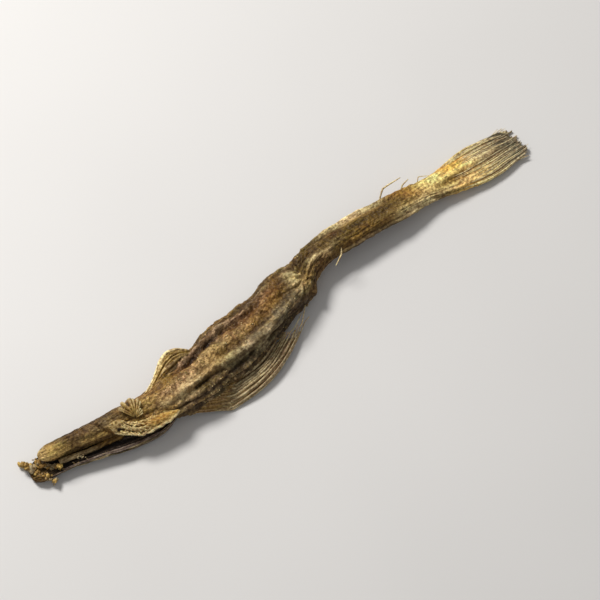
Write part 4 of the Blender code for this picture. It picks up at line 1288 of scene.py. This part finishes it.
# %% The shoulder leaf
LEAF_FROM, LEAF_TO, LEAF_ROOT_ANGLE = 48.0, 75.0, 38.0
# How far the root is tucked in and down, then the reach and skew of the bell, its rise and its curl
LEAF_TUCK, LEAF_REACH, LEAF_SKEW, LEAF_RISE, LEAF_CURL = (1.6, 0.9), 7.0, 1.5, 1.6, 0.75 * math.pi
# The wall of the leaf and how much thicker its rolled edge is
LEAF_WALL, ROLL_WALL, LEAF_STEPS_ALONG, LEAF_STEPS_OUT = 0.5, 0.9, 180, 50


def plain_root(x, degrees):
    """Places on the skin along the fish at one angle, with the large folds and none of the fine relief."""
    angle = np.full_like(x, math.radians(degrees))
    return skin_point(x, angle, (fold_height(x, angle, mean_radius(x), FOLDS), 0.0))


def make_leaf():
    """Root line plus reach * sin(pi t^1.5) sideways and rise * sin(0.75 pi r) upwards, with striations."""
    along = np.linspace(0.0, 1.0, LEAF_STEPS_ALONG)[:, None]
    out = np.linspace(0.0, 1.0, LEAF_STEPS_OUT)[None, :]
    x = LEAF_FROM + (LEAF_TO - LEAF_FROM) * along
    root = plain_root(x, LEAF_ROOT_ANGLE)
    width = np.sin(math.pi * along**LEAF_SKEW)
    y = root[..., 1] - LEAF_TUCK[0] + (LEAF_REACH * width + LEAF_TUCK[0]) * out
    lines = creased(noise_at(121, along * 3, out * 8, 0.5))
    crinkle = noise_at(122, along * 26, out * 5, 0.5)
    z = root[..., 2] - LEAF_TUCK[1] + LEAF_RISE * np.sin(LEAF_CURL * out) * width
    z = z + 0.4 * np.sin(9 * along + 2 * out) * out + (0.5 * lines + 0.2 * crinkle) * ease(out, 0, 0.3)
    grid = stacked(x, y, z)
    rolled = bell((out - 0.95) / 0.09) * np.sin(math.pi * along) ** 0.4
    # Umber along the root, where the leaf is tucked under the skin, is painted shade
    tone = painted(grid, ink("hide"), (ink("straw"), ease(out, 0.45, 0.75) * (1 - 0.6 * along)),
                   (ink("cream"), 0.35 * ease(lines, 0, 0.5) + 0.8 * rolled),
                   (ink("olive"), 0.7 * ease(-lines, 0.0, 0.5) + 0.5 * ease(along, 0.5, 0.8) * (1 - rolled)),
                   (ink("umber"), 0.85 * (1 - ease(out, 0.1, 0.5))))
    wall = LEAF_WALL + ROLL_WALL * rolled
    put_leaves_on("shoulder_leaf", [(grid, wall, tone, stacked(along * 5, out * 14, 0.0))], SKIN)


make_leaf()

# %% [markdown]
# The belly fin lies folded along the near side: a knuckle, a membrane in pleats, and rays whose tips have
# come free. The membrane is a leaf over the same surface that the solid has, so that both fins agree. Its
# pleats are a cosine across, and its striations are creased noise, stretched along the rays.

# %% The belly fin
FIN_SKIN_FROM, FIN_SKIN_TO, FIN_ROOT_ANGLE, FIN_ROOT_TUCK = 53.0, 84.0, 185.0, 1.8
FIN_KNUCKLE_OUTER, FIN_KNUCKLE_INNER = np.array((75.0, -24.6, 0.58)), np.array((85.0, -15.2, 3.4))
FIN_TIP_OUTER, FIN_TIP_INNER = np.array((121.5, -11.6, 2.6)), np.array((106.0, -11.6, 3.6))
FIN_BOW, FIN_INNER_STRAIGHTER, FIN_ARCH, FIN_PLEATS, FIN_PLEAT_DEPTH = 5.0, 0.6, 0.9, 7, 0.6
FIN_WALL, FIN_STEPS_ALONG, STEPS_PER_PLEAT = 0.34, 130, 24


def pleat_phase(inner):
    """Which pleat a place is on: the share across, bent by a small sine, so that the pleats vary in width."""
    return FIN_PLEATS * (inner + 0.05 * np.sin(9 * inner + 1) - 0.042 * (1 - inner))


def fin_point(along, inner):
    """along -0.5..0 is skin from the body to the knuckle, 0..1 runs down the rays; inner 0 is outermost."""
    knuckle = FIN_KNUCKLE_OUTER + inner[..., None] * (FIN_KNUCKLE_INNER - FIN_KNUCKLE_OUTER)
    tip = FIN_TIP_OUTER + inner[..., None] * (FIN_TIP_INNER - FIN_TIP_OUTER)
    root_x = FIN_SKIN_FROM + (FIN_SKIN_TO - FIN_SKIN_FROM) * inner
    root = plain_root(root_x, FIN_ROOT_ANGLE) + (0.0, FIN_ROOT_TUCK, 0.0)
    up_skin, down_ray = np.clip(-2 * along, 0, 1), np.clip(along, 0, 1)
    place = knuckle + up_skin[..., None] * (root - knuckle) + down_ray[..., None] * (tip - knuckle)
    bow = np.sin(math.pi * down_ray) * (1 - FIN_INNER_STRAIGHTER * inner)
    place[..., 1] -= FIN_BOW * bow
    pleats = np.cos(2 * math.pi * pleat_phase(inner)) * ease(along, -0.2, 0.3)
    place[..., 2] += FIN_ARCH * bow - FIN_PLEAT_DEPTH * pleats
    return place


def make_fin_web():
    """The membrane with a torn end, striated by creased noise, painted highlight on its crests, painted shade
    between.
    """
    inner = np.linspace(0.0, 1.0, STEPS_PER_PLEAT * FIN_PLEATS + 1)[None, :]
    torn = 0.11 * (1 + noise_at(131, inner * 17, 0.5, 0.5))
    along = np.linspace(0.0, 1.0, FIN_STEPS_ALONG)[:, None] * (1.5 - torn) - 0.5
    along, inner = np.broadcast_arrays(along, inner)
    grid = fin_point(along, inner)
    lines = creased(noise_at(132, along * 4, inner * 26, 0.0))
    crinkle = noise_at(133, along * 22, inner * 12, 0.0)
    grid[..., 2] = np.maximum(grid[..., 2] + 0.22 * lines + 0.18 * crinkle, 0.3)
    crest = -np.cos(2 * math.pi * pleat_phase(inner))
    patchy = noise_at(134, along * 5, inner * 5, 0.0)
    knuckle = bell((along - 0.03) / 0.10) * (1 - ease(inner, 0.2, 0.8))
    # Ash on the crests is a painted highlight; umber between them is painted shade
    tone = painted(grid, ink("bark"), (ink("grey"), 0.5 + 0.9 * patchy),
                   (ink("ash"), 0.55 * ease(crest, -0.2, 0.9)),
                   (ink("tan"), 0.8 * (1 - ease(along, -0.3, 0.15))), (ink("cream"), 0.8 * knuckle),
                   (ink("umber"), ease(-crest, -0.2, 0.8) * ease(along, 0, 0.25)),
                   (ink("rose"), 0.50 * ease(lines, 0.1, 0.5)))
    place = stacked(along * 6, inner * 30, 0.0)
    # The lower face gets seven tenths of the colour, as painted shade
    put_leaves_on("belly_fin", [(grid, FIN_WALL, tone, place)], FIN, underside=0.7)


make_fin_web()

# %% [markdown]
# The rays carry the fin. On each crest lies a stiff one, and finer ones are scattered between. Some reach
# past the torn end of the web, as broken rays do. Rays that were only painted on would vanish against the
# light.

# %% The rays of the fin
FINE_RAYS, FIN_RAY_STEPS = 12, 60


def make_fin_rays():
    """Each follows its own line across the web, a little above it, swaying, and thinner towards its tip."""
    rng, rays = np.random.default_rng(17), []
    spread = np.linspace(0, 1, 400)
    crests = np.interp(np.arange(FIN_PLEATS) + 0.5, pleat_phase(spread), spread)
    scattered = rng.uniform(0.0, 0.97, FINE_RAYS)
    for number, inner in enumerate(np.concatenate(((0.012,), crests, scattered))):
        stiff = number <= FIN_PLEATS
        along = np.linspace(rng.uniform(-0.16, 0.06), rng.uniform(0.86, 1.06), FIN_RAY_STEPS)
        sway = noise_at(141, along * 4, number * 1.7, 0.0)
        route = fin_point(np.clip(along, -0.5, 1), np.clip(inner + 0.03 * sway * ease(along, 0, 0.5), 0, 1))
        past = np.maximum(along - 1, 0)[:, None]
        route = route + past * (FIN_TIP_OUTER - FIN_KNUCKLE_OUTER) * (1.0, 1.0, 0.4)
        route[:, 2] += 0.25 + 0.15 * sway + 0.9 * ease(along, 0.7, 1.1) * rng.uniform(-0.2, 1)
        size = rng.uniform(0.34, 0.55) if stiff else rng.uniform(0.16, 0.26)
        radius = size * (1 - 0.55 * ease(along, 0.3, 1.05)) * ease(along, -0.2, 0.0)
        route[:, 2] = np.maximum(route[:, 2], radius + 0.1)
        shade, ash = rng.uniform(0.75, 1.3), ink("ash")
        ends = (ash * 1.1 * shade, ash * 1.3 * shade) if stiff else (ash * shade, ink("rose") * 1.1)
        rays.append((route, radius + 0.05, *ends))
    strands_piece("fin_rays", rays, FIN)


make_fin_rays()

# %% [markdown]
# The tail is a fan of fine rays in a thin web. The web is already there as the flat end of the skin, so the
# rays are strands that lie on its upper and its lower face. They split into hairs at the torn end. Their
# pale colours, each a little different, give the tail the look of a worn brush.

# %% The tail rays
TAIL_RAYS, RAY_STEPS, HAIRS_PER_RAY, HAIR_STEPS = 25, 70, 3, 14
# The share of the web's half width that the rays cover, and the steps before a ray's end where its hairs
# begin
RAY_SPREAD, HAIRS_FROM = 0.97, 16


def tail_route(x, across):
    """The middle plane of the web: centre line plus across times the half width, turned by the twist."""
    centre_y, centre_z, half_width, _, twist = body_at(np.minimum(x, SKIN_LENGTH - TAIL_ROUND))
    side = across * half_width
    return stacked(x, centre_y + side * np.cos(twist), centre_z + side * np.sin(twist))


def make_tail_rays():
    """Each ray follows the web's face at its own share of the width, above and below, and ends in hairs."""
    rng, rays = np.random.default_rng(23), []
    t, s = np.linspace(0, 1, RAY_STEPS), np.linspace(0, 1, HAIR_STEPS)
    for number in range(TAIL_RAYS):
        border = number in (0, TAIL_RAYS - 1)
        jitter = 0.0 if border else 0.03 * rng.uniform(-1, 1)
        across = RAY_SPREAD * (2 * number / (TAIL_RAYS - 1) - 1) + jitter
        end = 248.6 - 2.0 * across**2 - rng.uniform(0, 3.2)
        x = np.linspace(206.0 + rng.uniform(0, 9), end, RAY_STEPS)
        sway = noise_at(151, x / 9, number * 2.3, 0.0)
        thick = 0.5 if border else rng.uniform(0.18, 0.38)
        radius = thick * ease(t, -0.05, 0.3) * (1 - 0.35 * ease(t, 0.6, 1.0))
        half = body_at(np.minimum(x, SKIN_LENGTH - TAIL_ROUND))[3]
        half = half * (1 - WEB_THINNER * ease(x, WEB_FROM, WEB_FULL))
        rise = (half + 0.25 * t) * np.sqrt(1 - 0.94 * across**2) * (1 - 0.35 * t**3)
        droop = 0.8 * t**4 * (0.3 + 0.7 * (across > 0))
        # Rays on the near side get eight tenths of their colour: painted shade
        shade = rng.uniform(0.6, 1.0) * (1.0 if across > -0.3 else 0.8)
        shaded = ink("cream") * shade, ink("linen") * 0.6 * shade
        ends = shaded if number % 3 else (ink("butter"), ink("linen") * 0.8)
        for face in (1, -1):
            route = tail_route(x, across + 0.04 * sway)
            route[:, 2] += face * rise - droop + 0.2 * sway * t
            route[:, 2] = np.maximum(route[:, 2], radius)
            rays.append((route, radius + 0.04, *ends))
        for _ in range(HAIRS_PER_RAY):
            fan = rng.uniform(-1.0, 1.0, 2)
            reach = rng.uniform(5.0, 8.5)
            away = stacked(reach * s, fan[0] * s**1.5 * 1.4, fan[1] * 0.5 * s**2 - 0.1 * s)
            hair = route[-HAIRS_FROM] + away
            hair[:, 2] = np.maximum(hair[:, 2], 0.25)
            rays.append((hair, 0.17 * (1 - 0.7 * s) + 0.03, ink("ash"), ink("cream") * 0.8))
    strands_piece("tail_rays", rays, FIN)


make_tail_rays()

# %% [markdown]
# Small things make it look handled and real. A few stray fibres are pulled loose from the skin, stiff and
# kinked. They are placed one by one, because so few are seen, and each is a thin strand like the rays.

# %% Stray fibres
# One end, the kink and the other end, in mm, and the thickness
FIBRES = (
    ((151.6, 3.0, 11.0), (149.6, 0.4, 11.4), (145.4, -1.3, 9.0), 0.34),
    ((177.6, 11.2, 8.8), (183.2, 15.6, 9.2), (192.4, 15.4, 9.0), 0.42),
    ((188.6, 10.4, 8.2), (190.8, 12.0, 9.0), (194.6, 12.8, 9.0), 0.34),
    ((197.0, 9.6, 7.0), (199.0, 11.6, 8.0), (203.4, 9.4, 7.4), 0.22),
    ((112.0, -15.6, 3.4), (119.4, -12.4, 5.0), (125.4, -6.8, 5.4), 0.26),
    ((108.0, -12.8, 3.4), (116.0, -12.0, 4.6), (122.0, -8.6, 5.0), 0.20),
)
FIBRE_STEPS, KINK = 36, 0.85


def make_fibres():
    """Two straight runs that meet at a kink, rounded off by a smooth curve through points close to it."""
    strands = []
    taper = np.sin(math.pi * np.linspace(0.06, 0.97, FIBRE_STEPS)) ** 0.4
    for *corners, size in FIBRES:
        first, kink, last = (np.array(corner) for corner in corners)
        bend = first + KINK * (kink - first), kink + (1 - KINK) * (last - kink)
        route = curve_through((first, *bend, last), FIBRE_STEPS)
        strands.append((route, size * taper, ink("ash"), ink("cream")))
    strands_piece("stray_fibres", strands, FIN)


make_fibres()

# %% [markdown]
# Last, pale flakes stand up along the crests of the skin, most of them at the shoulder and the waist. They
# are set where the relief is high: places are chosen at random, and those on a crest are kept. Spread
# evenly, they would look like dust that has fallen on the fish.

# %% Flakes on the crests
FLAKE_TRIES, CREST_FROM, FLAKE_SHARE = 6000, 0.2, 0.3
# x of the middle, half length and density of the two crowds of flakes, and the density elsewhere
FLAKE_CROWDS, FLAKES_ELSEWHERE = ((62, 26, 1.0), (130, 12, 0.5)), 0.3


def make_flakes():
    """Of many random places, those on a crest are kept with a chance of two bells along the fish."""
    rng = np.random.default_rng(29)
    x = rng.uniform(40, 140, FLAKE_TRIES)
    angle = np.radians(rng.uniform(20, 210, FLAKE_TRIES))
    large, fine = skin_heights(x, angle)
    density = sum(most * bell((x - at) / reach) for at, reach, most in FLAKE_CROWDS) + FLAKES_ELSEWHERE
    keep = (fine > CREST_FROM) & (rng.uniform(0, 1, FLAKE_TRIES) < density * FLAKE_SHARE)
    x, angle, large, fine = x[keep], angle[keep], large[keep], fine[keep]
    centres = skin_point(x, angle, (large, fine), lift=0.05)
    radii = rng.uniform(0.16, 0.34, len(x))
    shade = rng.uniform(0.45, 0.85, len(x))
    inks = [ink("cream") * s if s > 0.7 else ink("straw") * s for s in shade]
    lumps("skin_flakes", centres, radii, inks, 30, CRUMB, detail=1, lumpy=0.5, lowest=CLEARANCE)


make_flakes()

# %% [markdown]
# The studio is plain: a pale table, a broad soft light from behind and to the left, a weak fill, and a
# little light from the whole sky. One strong side light was chosen because wrinkles only show by their
# shadows. The camera looks down steeply from the near left, so that the fish lies corner to corner.

# %% Table, light and camera
SENSOR, TABLE_WIDTH, SKY_LIGHT = 36.0, 6.0, 0.26


def make_table():
    """A plane six metres wide in two pale greys, blended by a slow noise."""
    bpy.ops.mesh.primitive_plane_add(size=TABLE_WIDTH, location=(0, 0, 0))
    table = bpy.context.object
    table.name = "table"
    material = bpy.data.materials.new("pale_table")
    material.use_nodes = True
    nodes, links = material.node_tree.nodes, material.node_tree.links
    shader = nodes["Principled BSDF"]
    place = nodes.new("ShaderNodeTexCoord").outputs["Object"]
    cloud = socket_noise(nodes, links, place, 6.0, 2.0, 0.5)
    ramp = nodes.new("ShaderNodeValToRGB")
    ramp.color_ramp.elements[0].color = (0.70, 0.69, 0.68, 1)
    ramp.color_ramp.elements[1].color = (0.78, 0.77, 0.76, 1)
    links.new(cloud, ramp.inputs["Fac"])
    links.new(ramp.outputs["Color"], shader.inputs["Base Color"])
    shader.inputs["Roughness"].default_value = 0.6
    table.data.materials.append(material)


def make_light(name, place, size, power, colour):
    """A round area light of the given width in metres and power in watts, turned towards the fish."""
    lamp = bpy.data.lights.new(name, "AREA")
    lamp.shape, lamp.size, lamp.energy, lamp.color = "DISK", size, power, colour
    holder = bpy.data.objects.new(name, lamp)
    holder.location = place
    holder.rotation_euler = (-Vector(place)).to_track_quat("-Z", "Y").to_euler()
    bpy.context.scene.collection.objects.link(holder)


def make_camera(azimuth=-37.5, elevation=62.0, distance=1.0, target=(0.004, 0.002, 0.004), frame_width=0.245):
    """Placed round the target by two angles; its lens is sensor * distance / the width that is seen there."""
    a, e = math.radians(azimuth), math.radians(elevation)
    back = Vector((math.sin(a) * math.cos(e), -math.cos(a) * math.cos(e), math.sin(e)))
    lens = bpy.data.cameras.new("camera")
    lens.sensor_width = SENSOR
    lens.lens = SENSOR * distance / frame_width
    camera = bpy.data.objects.new("camera", lens)
    camera.location = Vector(target) + back * distance
    camera.rotation_euler = (-back).to_track_quat("-Z", "Y").to_euler()
    bpy.context.scene.collection.objects.link(camera)
    bpy.context.scene.camera = camera


make_table()
make_light("key", (-0.14, 0.72, 0.82), 0.36, 11.5, (1.0, 0.98, 0.95))
make_light("fill", (-0.6, -0.5, 0.8), 0.8, 0.6, (0.95, 0.97, 1.0))
world = bpy.data.worlds.new("sky")
world.use_nodes = True
sky = world.node_tree.nodes["Background"]
sky.inputs["Color"].default_value = (1.0, 0.985, 0.965, 1.0)
sky.inputs["Strength"].default_value = SKY_LIGHT
bpy.context.scene.world = world
bpy.context.scene.view_settings.view_transform = "Standard"
make_camera()
print("camera at", [round(value, 3) for value in bpy.context.scene.camera.location], "metres")
